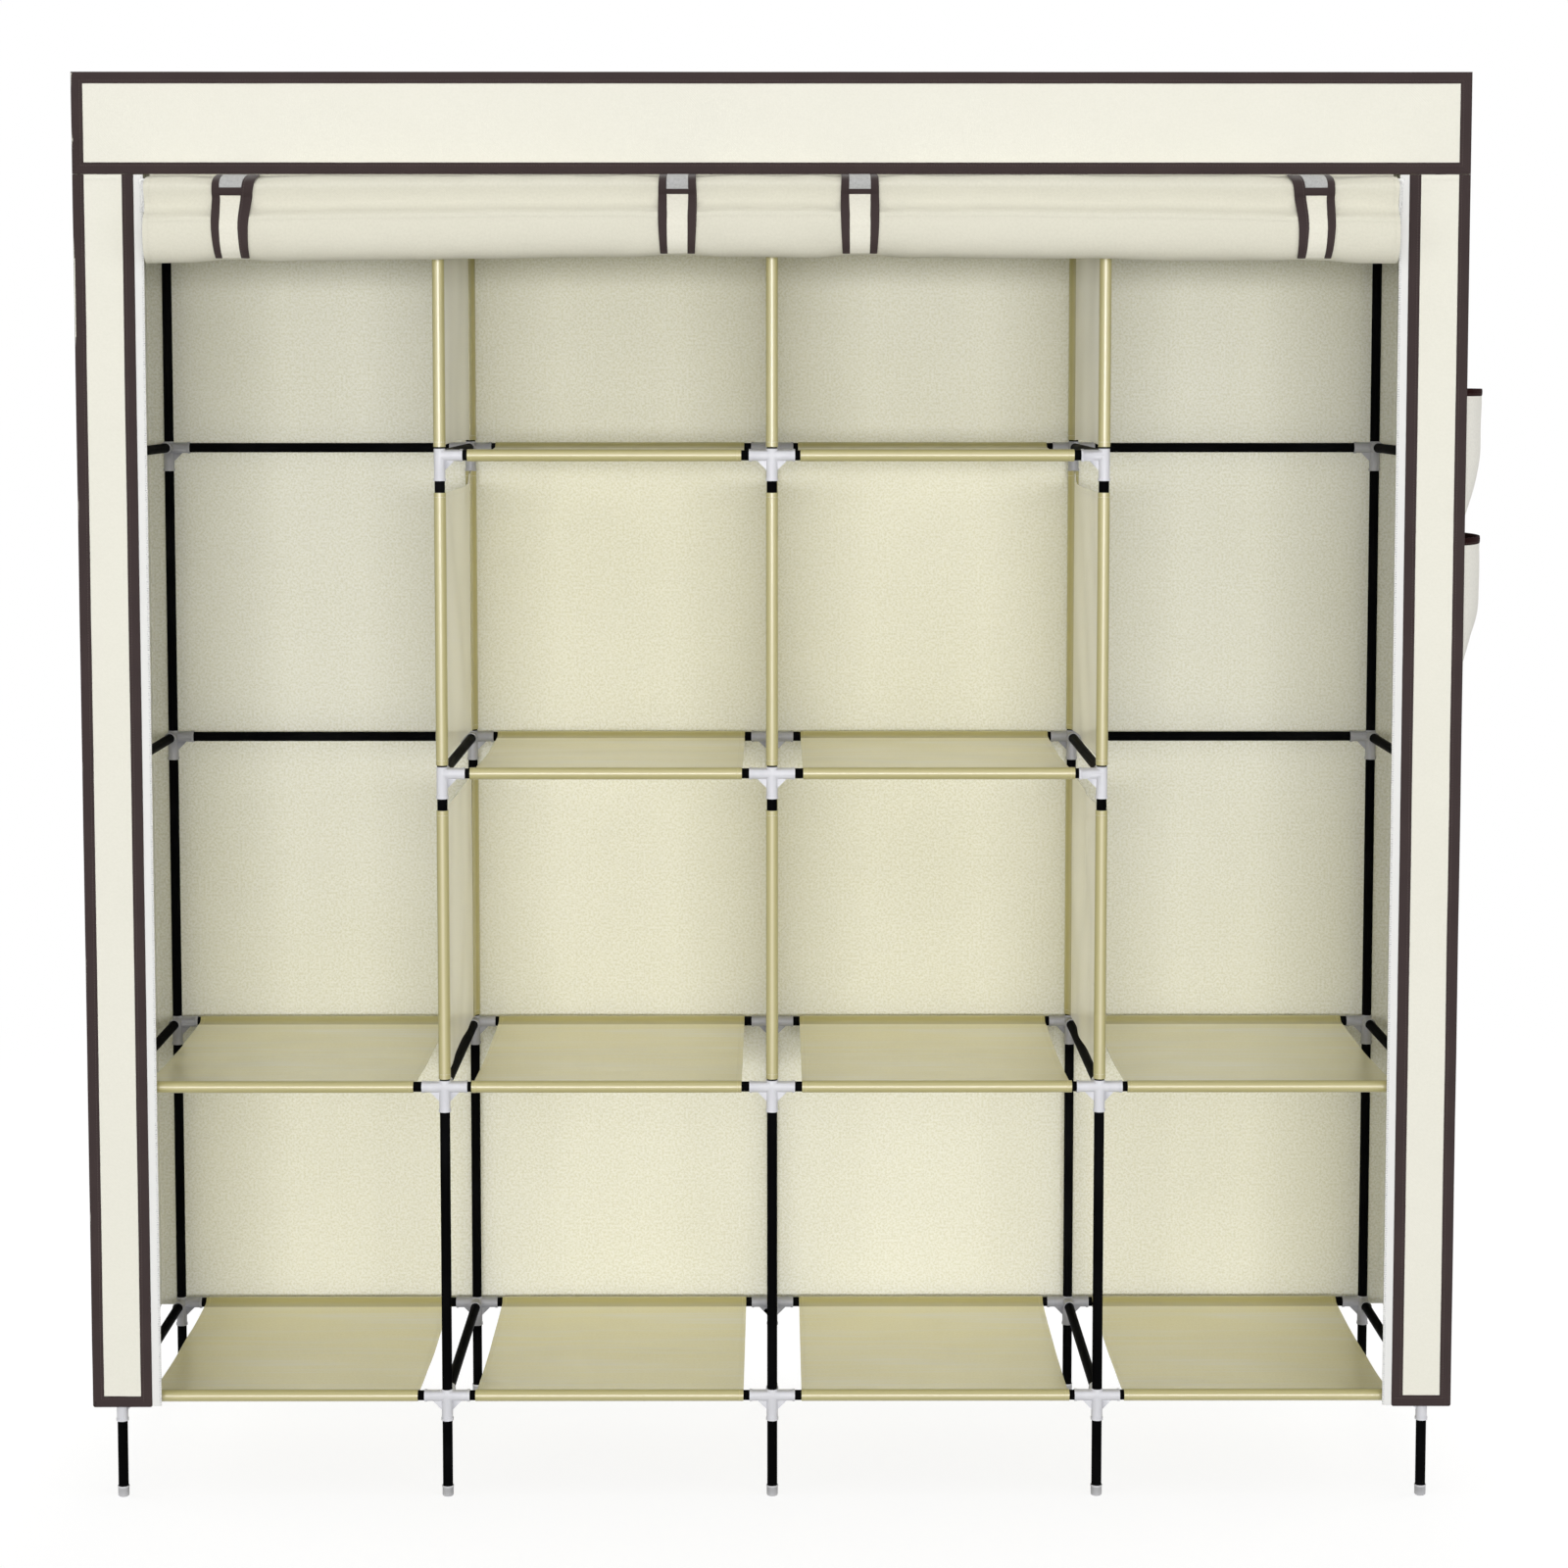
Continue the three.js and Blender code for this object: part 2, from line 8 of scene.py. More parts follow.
import json
import logging
import math
from collections.abc import Iterable, Iterator, Mapping, Sequence
from contextlib import contextmanager
from dataclasses import dataclass
from enum import Enum

import bmesh
import bpy
import numpy as np
from mathutils import Matrix, Vector

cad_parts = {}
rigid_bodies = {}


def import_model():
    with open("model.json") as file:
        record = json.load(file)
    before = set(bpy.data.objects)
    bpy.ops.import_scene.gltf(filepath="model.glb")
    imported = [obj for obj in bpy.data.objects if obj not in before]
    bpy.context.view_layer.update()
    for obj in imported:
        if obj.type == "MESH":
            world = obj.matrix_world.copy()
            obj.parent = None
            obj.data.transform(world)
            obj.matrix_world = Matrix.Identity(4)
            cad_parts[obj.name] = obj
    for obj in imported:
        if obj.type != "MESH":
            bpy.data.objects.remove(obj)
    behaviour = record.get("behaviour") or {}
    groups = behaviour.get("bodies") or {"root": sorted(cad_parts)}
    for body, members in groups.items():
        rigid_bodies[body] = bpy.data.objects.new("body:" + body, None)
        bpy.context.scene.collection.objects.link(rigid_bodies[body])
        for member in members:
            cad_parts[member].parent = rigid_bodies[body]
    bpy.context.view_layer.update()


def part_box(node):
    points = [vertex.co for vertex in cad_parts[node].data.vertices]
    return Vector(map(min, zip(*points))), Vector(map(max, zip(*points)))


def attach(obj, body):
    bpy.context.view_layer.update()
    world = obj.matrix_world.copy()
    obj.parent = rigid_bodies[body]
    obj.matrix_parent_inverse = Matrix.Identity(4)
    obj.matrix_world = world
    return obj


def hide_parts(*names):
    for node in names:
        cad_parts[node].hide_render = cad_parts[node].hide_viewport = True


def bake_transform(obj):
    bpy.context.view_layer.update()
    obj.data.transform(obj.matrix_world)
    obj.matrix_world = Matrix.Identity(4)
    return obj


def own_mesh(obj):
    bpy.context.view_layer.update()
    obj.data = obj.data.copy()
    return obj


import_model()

log = logging.getLogger("wardrobe")

Piece = bpy.types.Object
Array = np.ndarray
Colour = tuple[int, int, int]
Light = tuple[float, float, float, float]
Place = tuple[float, float, float]
Outline = Sequence[tuple[float, float]]
Inputs = Mapping[str | int, object]

UP, DOWN, FRONT = Vector((0, 0, 1)), Vector((0, 0, -1)), Vector((0, -1, 0))


class Slot(Enum):
    """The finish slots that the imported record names."""

    TUBE = "black_tube"
    PLASTIC = "grey_plastic"
    SHELF = "shelf_cloth"
    PARTITION = "partition_cloth"
    COVER = "cover_cloth"
    DOOR = "door_cloth"
    STRAP = "strap_cloth"
    ZIP = "zip_metal"


class Body(Enum):
    """The bodies that pieces ride on."""

    FIXED = "frame_and_cover"
    DOOR = "rolled_door"
    LEFT_ZIP = "left_zip"
    RIGHT_ZIP = "right_zip"
    STRAP_1 = "door_strap_1"
    STRAP_2 = "door_strap_2"
    STRAP_3 = "door_strap_3"
    STRAP_4 = "door_strap_4"


# Arranging the scene


def deselect_everything() -> None:
    """Leave no object selected."""
    for obj in bpy.context.view_layer.objects:
        obj.select_set(False)


def make_active(obj: Piece) -> None:
    """Select one object only and make it the active one."""
    deselect_everything()
    obj.select_set(True)
    bpy.context.view_layer.objects.active = obj


def link_new(name: str, data: bpy.types.ID) -> Piece:
    """Put a new object that shows some data into the scene."""
    obj = bpy.data.objects.new(name, data)
    bpy.context.scene.collection.objects.link(obj)
    return obj


def new_mesh(name: str, points: Array, faces: list[list[int]]) -> Piece:
    """Put a new object of points and faces into the scene."""
    mesh = bpy.data.meshes.new(name)
    mesh.from_pydata(points.reshape(-1, 3).tolist(), [], faces)
    return link_new(name, mesh)


def discard(*objects: Piece) -> None:
    """Remove objects that have been copied or joined to others."""
    for obj in objects:
        bpy.data.objects.remove(obj, do_unlink=True)


def settle(obj: Piece, name: str) -> Piece:
    """Name a new primitive and move its place into its mesh, which leaves it unturned and unscaled."""
    obj.name = name
    obj.data.name = name
    make_active(obj)
    bpy.ops.object.transform_apply(location=True, rotation=True, scale=True)
    return obj


def cube(name: str, middle: Iterable[float], size: Place) -> Piece:
    """Add a block by its middle and its size, with its place in its mesh."""
    deselect_everything()
    bpy.ops.mesh.primitive_cube_add(size=1.0, location=tuple(middle))
    bpy.context.object.scale = size
    return settle(bpy.context.object, name)


def block(name: str, low: Place, high: Place) -> Piece:
    """Add a block between two corners, with its place in its mesh."""
    return cube(name, ((a + b) / 2 for a, b in zip(low, high)), tuple(b - a for a, b in zip(low, high)))


def apply_modifiers(obj: Piece) -> None:
    """Make every modifier of an object part of its mesh."""
    make_active(obj)
    for modifier in list(obj.modifiers):
        bpy.ops.object.modifier_apply(modifier=modifier.name)


def smooth(obj: Piece, degrees: float = 40.0) -> None:
    """Shade an object smooth, apart from edges sharper than an angle."""
    make_active(obj)
    bpy.ops.object.shade_smooth_by_angle(angle=math.radians(degrees))


def ease_edges(obj: Piece, width: float, angle: float) -> Piece:
    """Round the edges of a solid that are sharper than an angle, and shade it smooth."""
    edge = obj.modifiers.new("Edge", "BEVEL")
    edge.width, edge.segments, edge.limit_method, edge.angle_limit = width, 2, "ANGLE", angle
    apply_modifiers(obj)
    smooth(obj)
    return obj


@contextmanager
def editing(obj: Piece) -> Iterator[None]:
    """Hold an object in edit mode with face selection while a block runs."""
    make_active(obj)
    bpy.ops.object.mode_set(mode="EDIT")
    bpy.ops.mesh.select_mode(type="FACE")
    yield
    bpy.ops.object.mode_set(mode="OBJECT")


def face_outward(obj: Piece) -> None:
    """Make every face of a solid look outward."""
    with editing(obj):
        bpy.ops.mesh.select_all(action="SELECT")
        bpy.ops.mesh.normals_make_consistent(inside=False)


def end_faces(obj: Piece, direction: Vector) -> Vector:
    """Select the outermost faces that look along a direction, and nothing else.

    Args:
        obj: The object in edit mode.
        direction: The way that the wanted faces look.

    Returns:
        The middle of those faces.
    """
    bpy.ops.mesh.select_all(action="DESELECT")
    mesh = bmesh.from_edit_mesh(obj.data)
    looking = [(f, f.calc_center_median()) for f in mesh.faces if f.normal.dot(direction) > 0.99]
    reach = max(middle.dot(direction) for _, middle in looking)
    chosen = [(f, middle) for f, middle in looking if middle.dot(direction) > reach - 1e-5]
    for face, _ in chosen:
        face.select_set(True)
    bmesh.update_edit_mesh(obj.data)
    return sum((middle for _, middle in chosen), Vector()) / len(chosen)


def extrude(offset: Vector) -> None:
    """Extrude the selected faces by an offset."""
    bpy.ops.mesh.extrude_region_move(TRANSFORM_OT_translate={"value": tuple(offset)})


def resize(factors: Place, centre: Vector) -> None:
    """Scale the selection about a point."""
    bpy.ops.transform.resize(value=factors, center_override=tuple(centre))


def inset(thickness: float) -> None:
    """Draw a smaller outline inside the selected faces and select what it holds."""
    bpy.ops.mesh.inset(thickness=thickness, depth=0.0)


def union(target: Piece, others: Iterable[Piece]) -> None:
    """Join other solids to a target for good and remove them."""
    for other in others:
        joint = target.modifiers.new("Join", "BOOLEAN")
        joint.operation, joint.solver, joint.object = "UNION", "EXACT", other
        apply_modifiers(target)
        discard(other)


def copy_of(template: Piece, name: str, move: Matrix) -> Piece:
    """Copy a modelled piece, and move the copy by moving its own mesh."""
    mesh = template.data.copy()
    mesh.name = name
    mesh.transform(move)
    mesh.update()
    return link_new(name, mesh)


def dress(
    obj: Piece,
    finish: bpy.types.Material,
    body: Body | None = Body.FIXED,
    nodes: Sequence[str] = (),
) -> Piece:
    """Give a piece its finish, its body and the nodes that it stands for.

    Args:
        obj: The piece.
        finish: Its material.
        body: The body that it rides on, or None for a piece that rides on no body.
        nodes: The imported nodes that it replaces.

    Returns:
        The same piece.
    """
    obj.data.materials.clear()
    obj.data.materials.append(finish)
    if nodes:
        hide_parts(*nodes)
    if body is not None:
        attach(obj, body.value)
    log.info("%s: %d faces", obj.name, len(obj.data.polygons))
    return obj


# Lines and grids of points


def soft_noise(first: Array, second: Array, length: float, seed: int) -> Array:
    """A smooth unevenness of about -1 to 1 over two coordinates.

    Args:
        first: The first coordinate, in metres.
        second: The second coordinate, in metres.
        length: The usual distance from crest to crest.
        seed: Chooses the pattern.

    Returns:
        The value at each place.
    """
    chance = np.random.default_rng(seed)
    total = np.zeros(np.broadcast(first, second).shape)
    waves = 7
    for _ in range(waves):
        angle, phase = chance.uniform(0, 2 * math.pi, 2)
        pace = 2 * math.pi / (length * chance.uniform(0.7, 1.6))
        total += np.sin(pace * (np.cos(angle) * first + np.sin(angle) * second) + phase)
    return total / math.sqrt(2 * waves)


def smoothstep(value: Array, low: float, high: float) -> Array:
    """Rise smoothly from 0 at low to 1 at high."""
    share = np.clip((value - low) / (high - low), 0.0, 1.0)
    return share * share * (3 - 2 * share)


def spline(points: Outline, shares: Array) -> Array:
    """Points of a smooth curve through given points.

    Args:
        points: The points that the curve passes.
        shares: Where along the curve, from 0 to 1.

    Returns:
        One point for each share.
    """
    known = np.array(points)
    last = len(known) - 1
    place = np.clip(shares, 0.0, 1.0) * last
    index = np.minimum(place.astype(int), last - 1)
    part = (place - index)[:, None]
    before, here = known[np.maximum(index - 1, 0)], known[index]
    after, beyond = known[index + 1], known[np.minimum(index + 2, last)]
    leave, arrive = (after - before) / 2, (beyond - here) / 2
    cubed = (2 * here - 2 * after + leave + arrive) * part**3
    squared = (3 * after - 3 * here - 2 * leave - arrive) * part**2
    return cubed + squared + leave * part + here


def together(*coordinates: Array | float) -> Array:
    """Coordinates, or one number for all of them, as an array of points."""
    return np.stack(np.broadcast_arrays(*coordinates), axis=-1)


def lattice(first: Array, second: Array) -> list[Array]:
    """Every pair of two coordinates, as two grids."""
    return np.meshgrid(first, second, indexing="ij")


def unit(vectors: Array) -> Array:
    """Vectors of length one along others."""
    return vectors / np.linalg.norm(vectors, axis=-1, keepdims=True)


def outward(line: Array) -> Array:
    """The unit normals on the left of a line in a plane."""
    along = unit(np.gradient(line, axis=0))
    return together(along[:, 1], -along[:, 0])


def summed(steps: Array) -> Array:
    """Steps added up, from zero."""
    return np.concatenate([[0.0], np.cumsum(steps)])


def run_along(line: Array) -> Array:
    """How far along a line each of its points lies."""
    return summed(np.linalg.norm(np.diff(line, axis=0), axis=1))


def set_uv(mesh: bpy.types.Mesh, title: str, flat: Array, order: Array) -> None:
    """Store a UV map that gives each face corner the flat place of its point."""
    layer = mesh.uv_layers.new(name=title)
    layer.data.foreach_set("uv", flat.reshape(-1, 2)[order].ravel().astype(np.float32))


def grid_mesh(name: str, points: Array) -> Piece:
    """A mesh of quads over a grid, with a UV map in metres and one of distances from the edges.

    Args:
        name: The piece's name.
        points: The places, as an array of columns, rows and coordinates.

    Returns:
        The new object.
    """
    columns, rows, _ = points.shape
    corner = np.arange(columns * rows).reshape(columns, rows)
    quads = together(corner[:-1, :-1], corner[1:, :-1], corner[1:, 1:], corner[:-1, 1:]).reshape(-1, 4)
    obj = new_mesh(name, points, quads.tolist())
    across, along = (
        summed(np.linalg.norm(np.diff(points, axis=axis), axis=2).mean(axis=1 - axis)) for axis in (0, 1)
    )
    flat = together(*lattice(across, along))
    edge = np.minimum(flat, np.array([across[-1], along[-1]]) - flat)
    for title, values in (("Cloth", flat), ("Edge", edge)):
        set_uv(obj.data, title, values, quads)
    obj.data.uv_layers["Cloth"].active_render = True
    obj.data.validate()
    return obj


def loft(name: str, rings: Array, closed: bool = False) -> Piece:
    """A solid through rings of points, with a UV map that runs along it in metres.

    Args:
        name: The piece's name.
        rings: The places, as an array of stations, points round and coordinates.
        closed: Whether the last ring meets the first.

    Returns:
        The new object.
    """
    stations, around, _ = rings.shape
    corner = np.arange(stations * around).reshape(stations, around)
    follow = np.roll(corner, -1, axis=0) if closed else corner[1:]
    here = corner if closed else corner[:-1]
    quads = together(here, np.roll(here, -1, axis=1), np.roll(follow, -1, axis=1), follow)
    faces = quads.reshape(-1, 4).tolist()
    if not closed:
        faces += [corner[0][::-1].tolist(), corner[-1].tolist()]
    obj = new_mesh(name, rings, faces)
    girth = np.linalg.norm(np.diff(rings, axis=1), axis=2).mean(axis=0)
    flat = together(*lattice(run_along(rings.mean(axis=1)), summed(girth)))
    set_uv(obj.data, "Cloth", flat, np.array([vertex for face in faces for vertex in face]))
    obj.data.validate()
    face_outward(obj)
    return obj


def tape(
    name: str, path: Array, inward: Array, facing: Array, section: Outline, closed: bool = False
) -> Piece:
    """A sewn tape that follows a path.

    Args:
        name: The piece's name.
        path: The points of the tape's edge.
        inward: The way across the tape, at each point or at all of them.
        facing: The way that the tape's front looks, at each point or at all of them.
        section: The tape's outline, as distances across and out.
        closed: Whether the tape is one ring.

    Returns:
        The new object, shaded smooth.
    """
    outline = np.array(section)
    across, out = (np.broadcast_to(way, path.shape)[:, None, :] for way in (inward, facing))
    rings = path[:, None, :] + across * outline[None, :, 0, None] + out * outline[None, :, 1, None]
    obj = loft(name, rings, closed)
    smooth(obj, 55.0)
    return obj


@dataclass(frozen=True)
class Cloth:
    """One kind of cloth: its finish, its slot and its thickness."""

    finish: bpy.types.Material
    slot: Slot
    thickness: float

    def cut(
        self,
        name: str,
        points: Array,
        nodes: Sequence[str] = (),
        body: Body | None = Body.FIXED,
        painted: Mapping[str, Array] | None = None,
    ) -> Piece:
        """Make a piece of the cloth, with its thickness on both sides of its middle.

        Args:
            name: The piece's name.
            points: Its middle, as a grid of points.
            nodes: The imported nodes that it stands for.
            body: The body that it rides on, or None.
            painted: Numbers at each point for its finish to read, by name.

        Returns:
            The piece.
        """
        obj = grid_mesh(name, points)
        for title, values in (painted or {}).items():
            spread = np.broadcast_to(values, points.shape[:2])
            layer = obj.data.attributes.new(title, "FLOAT", "POINT")
            layer.data.foreach_set("value", spread.ravel().astype(np.float32))
        wall = obj.modifiers.new("Thickness", "SOLIDIFY")
        wall.thickness, wall.offset = self.thickness, 0.0
        apply_modifiers(obj)
        smooth(obj, 50.0)
        return dress(obj, self.finish, body, nodes)


def line_side(obj: Piece, lining: bpy.types.Material, inside: Vector) -> None:
    """Give the faces of a cloth that look to its inside the finish of its lining."""
    obj.data.materials.append(lining)
    for face in obj.data.polygons:
        if face.normal.dot(inside) > 0.5:
            face.material_index = 1


# Finishes


def linear(colour: Colour) -> Light:
    """A screen colour, from 0 to 255 in each channel, as light."""
    parts = [c / 255 for c in colour]
    light = [p / 12.92 if p <= 0.04045 else ((p + 0.055) / 1.055) ** 2.4 for p in parts]
    return (*light, 1.0)


@dataclass(frozen=True)
class Signal:
    """One output of a node, which can be added, multiplied and so on like a number."""

    graph: "Graph"
    socket: bpy.types.NodeSocket

    def __add__(self, other: "Signal | float") -> "Signal":
        """The sum."""
        return self.graph.math("ADD", self, other)

    def __sub__(self, other: "Signal | float") -> "Signal":
        """The difference."""
        return self.graph.math("SUBTRACT", self, other)

    def __mul__(self, other: "Signal | float") -> "Signal":
        """The product."""
        return self.graph.math("MULTIPLY", self, other)

    def __truediv__(self, other: "Signal | float") -> "Signal":
        """The quotient."""
        return self.graph.math("DIVIDE", self, other)

    def __abs__(self) -> "Signal":
        """The size without its sign."""
        return self.graph.math("ABSOLUTE", self)


class Graph:
    """A node graph, with short ways to add and join nodes."""

    def __init__(self, tree: bpy.types.NodeTree) -> None:
        """Take the graph to draw in."""
        self.tree = tree

    def feed(self, node: bpy.types.Node, inputs: Inputs) -> None:
        """Set or join a node's inputs, by name or number."""
        for key, value in inputs.items():
            if isinstance(value, Signal):
                self.tree.links.new(value.socket, node.inputs[key])
            else:
                node.inputs[key].default_value = value

    def outputs(
        self, kind: str, keys: Sequence[str | int], inputs: Inputs | None = None, **settings: object
    ) -> list[Signal]:
        """Add a node.

        Args:
            kind: The node's type.
            keys: The outputs that are wanted, by name or number.
            inputs: Values or signals for its inputs, by name or number.
            settings: Its other settings.

        Returns:
            The outputs.
        """
        node = self.tree.nodes.new(kind)
        for key, value in settings.items():
            setattr(node, key, value)
        self.feed(node, inputs or {})
        return [Signal(self, node.outputs[key]) for key in keys]

    def node(
        self, kind: str, inputs: Inputs | None = None, output: str | int = 0, **settings: object
    ) -> Signal:
        """Add a node and return one of its outputs."""
        return self.outputs(kind, [output], inputs, **settings)[0]

    def math(self, operation: str, *values: Signal | float) -> Signal:
        """Add one step of arithmetic."""
        return self.node("ShaderNodeMath", dict(enumerate(values)), operation=operation)

    def seen(self) -> Signal:
        """1 for what the camera sees, also by way of gloss or glass, and 0 for light that is passed on."""
        rays = ["Is Camera Ray", "Is Glossy Ray", "Is Transmission Ray"]
        camera, glossy, through = self.outputs("ShaderNodeLightPath", rays)
        return self.math("MAXIMUM", self.math("MAXIMUM", camera, glossy), through)


class Shader(Graph):
    """A material's node graph."""

    def __init__(self, name: str) -> None:
        """Start a material with its surface shader."""
        self.material = bpy.data.materials.new(name)
        self.material.use_nodes = True
        super().__init__(self.material.node_tree)
        self.surface = self.tree.nodes["Principled BSDF"]
        self.output = self.tree.nodes["Material Output"]

    def step(self, value: Signal, low: float, high: float, start: float = 0.0, end: float = 1.0) -> Signal:
        """Carry a value smoothly from one range to another."""
        inputs = {"Value": value, "From Min": low, "From Max": high, "To Min": start, "To Max": end}
        return self.node("ShaderNodeMapRange", inputs, interpolation_type="SMOOTHSTEP")

    def blend(
        self, factor: Signal, first: Signal | Colour | Light, second: Signal | Colour | Light
    ) -> Signal:
        """Mix two colours, each a signal, a screen colour of three numbers or a light of four."""
        ends = [linear(c) if isinstance(c, tuple) and len(c) == 3 else c for c in (first, second)]
        return self.node("ShaderNodeMix", {0: factor, 6: ends[0], 7: ends[1]}, 2, data_type="RGBA")

    def noise(self, vector: Signal, scale: float, detail: float = 2.0, rough: float = 0.5) -> Signal:
        """Add a noise over a place."""
        inputs = {"Vector": vector, "Scale": scale, "Detail": detail, "Roughness": rough}
        return self.node("ShaderNodeTexNoise", inputs)

    def stretched(self, vector: Signal, scale: Place, turn: Place = (0, 0, 0)) -> Signal:
        """Scale and turn the place that a pattern reads."""
        return self.node("ShaderNodeMapping", {"Vector": vector, "Scale": scale, "Rotation": turn})

    def space(self) -> Signal:
        """The place in space, in metres."""
        return self.node("ShaderNodeTexCoord", output="Object")

    def cloth(self, title: str = "Cloth") -> Signal:
        """The place on the flat cloth, in metres, or its distances from the edges under Edge."""
        return self.node("ShaderNodeUVMap", uv_map=title)

    def split(self, vector: Signal) -> list[Signal]:
        """The first two parts of a place."""
        return self.outputs("ShaderNodeSeparateXYZ", [0, 1], {0: vector})

    def painted(self, title: str) -> Signal:
        """The number that is painted on the mesh under a name."""
        return self.node("ShaderNodeAttribute", output="Fac", attribute_name=title)

    def pointed(self) -> Signal:
        """How much the surface stands out at an edge or lies in a hollow."""
        return self.node("ShaderNodeNewGeometry", output="Pointiness")

    def ribs(self, run: Signal, pitch: float) -> Signal:
        """Ribs that rise and fall once in two pitches."""
        return self.math("PINGPONG", run / pitch, 1.0)

    def thread(self, beside: Signal, run: Signal, pitch: float, half: float) -> Signal:
        """Stitches by the distance beside and along their row: 1 on the thread and 0 off it."""
        beat = self.math("FRACT", run / pitch)
        dash = self.step(beat, 0.08, 0.2) * self.step(beat, 0.7, 0.82, 1.0, 0.0)
        return self.step(beside, half, half + 0.0003, 1.0, 0.0) * dash

    def bump(self, height: Signal, distance: float, **normal: Signal) -> Signal:
        """Raise a surface, or the Normal that is given, by a height times a distance in metres."""
        return self.node("ShaderNodeBump", {"Height": height, "Distance": distance, **normal})

    def finish(
        self, colour: Signal, normal: Signal, roughness: Signal | float, specular: float, **others: float
    ) -> bpy.types.Material:
        """Set the surface shader's inputs and return the material."""
        self.feed(self.surface, {"Base Color": colour, "Normal": normal, "Roughness": roughness})
        self.feed(self.surface, {"Specular IOR Level": specular})
        self.feed(self.surface, {key.replace("_", " ").title(): value for key, value in others.items()})
        return self.material


@dataclass(frozen=True)
class NonWovenCloth:
    """Thin spun-bonded cloth: fine fibres pressed together in a grid of small points."""

    name: str
    colour: Colour
    shade: Colour
    speckle: float = 0.5
    fleck_scale: float = 300.0
    bond_pitch: float = 0.0022
    crease: float = 0.0012
    crease_length: float = 0.09
    hem_inset: float = 0.006
    stitch_pitch: float = 0.0035
    stitched: bool = True
    roughness: float = 0.8
    specular: float = 0.25
    # The sleeves' colour, partly the khaki cloth and partly painted shade, and the colour of a painted
    # highlight along the front sleeve's face
    sleeve: tuple[Colour, Colour] | None = None
    # The colour and scale of painted sheen: light streaks that stand in for the satin's reflections
    painted_sheen: Colour | None = None
    streak_scale: Place = (2.4, 85.0, 1.0)
    satin: float = 0.0
    satin_roughness: float = 0.24

    def material(self) -> bpy.types.Material:
        """Build the cloth's material."""
        s = Shader(self.name)
        place = s.cloth()
        drift = s.noise(place, 2.2, 3.0)
        fibres = s.noise(s.stretched(place, (260, 900, 420), (0, 0, 0.6)), 1.0, 4.0, 0.65)
        cross = s.noise(s.stretched(place, (900, 240, 700), (0, 0, 0.3)), 1.0, 4.0, 0.65)
        flecks = s.noise(place, self.fleck_scale, 3.0, 0.6)
        mottle = (fibres * 0.5 + cross * 0.5) * 0.3 + flecks * 0.7
        tone = s.step(mottle, 0.4, 0.62) * self.speckle + s.step(drift, 0.3, 0.7, -0.08, 0.12)
        colour = s.blend(tone, self.colour, self.shade)
        # Painted sheen: light streaks along the cloth, standing in for its satin reflections
        if self.painted_sheen is not None:
            drawn = s.noise(s.stretched(place, self.streak_scale), 1.0, 4.0, 0.62)
            broad = s.noise(s.stretched(place, tuple(v**0.5 * 1.6 for v in self.streak_scale)), 1.0, 2.0)
            shine = s.step(drawn, 0.44, 0.7, 0.0, 0.7) + s.step(broad, 0.46, 0.66, 0.0, 0.55)
            colour = s.blend(shine, colour, self.painted_sheen)
        slanted = s.stretched(place, (1, 1, 1), (0, 0, 0.785))
        grid = {"Vector": slanted, "Scale": 1 / self.bond_pitch, "Randomness": 0.06}
        bonds = s.step(s.node("ShaderNodeTexVoronoi", grid, "Distance"), 0.16, 0.4)
        if self.sleeve is not None:
            # Sleeves darker, partly khaki cloth and partly painted shade, then the crest mark paints a
            # highlight on them
            for title, shown in zip(("sleeve", "crest"), self.sleeve):
                colour = s.blend(s.painted(title), colour, shown)
        creases = s.noise(place, 1 / self.crease_length, 3.0, 0.55)
        relief = bonds * 0.6 + mottle * 0.7
        if self.stitched:
            colour, relief = self.stitches(s, colour, relief)
        return s.finish(
            colour,
            s.bump(relief, 0.00012, Normal=s.bump(creases, self.crease)),
            s.step(drift, 0.25, 0.75, self.roughness - 0.05, self.roughness + 0.05),
            self.specular,
            sheen_weight=0.12,
            coat_weight=self.satin,
            coat_roughness=self.satin_roughness,
        )

    def stitches(self, s: Shader, colour: Signal, relief: Signal) -> tuple[Signal, Signal]:
        """Draw a row of stitches a little way in from each edge.

        Args:
            s: The material's graph.
            colour: The cloth's colour so far.
            relief: The cloth's height so far.

        Returns:
            The colour and the height with the stitches.
        """
        runs, edges = s.split(s.cloth()), s.split(s.cloth("Edge"))
        for edge, run in zip(edges, reversed(runs)):
            beside = abs(edge - self.hem_inset)
            thread = s.thread(beside, run, self.stitch_pitch, 0.0003)
            fold = s.step(edge, self.hem_inset + 0.001, self.hem_inset + 0.002, 1.0, 0.0)
            pucker = s.step(beside, 0.0004, 0.0016, 1.0, 0.0)
            colour = s.blend(thread * 0.35, colour, self.shade)
            relief = relief + fold * 2.5 - pucker * 1.6 + thread * 1.8
        return colour, relief


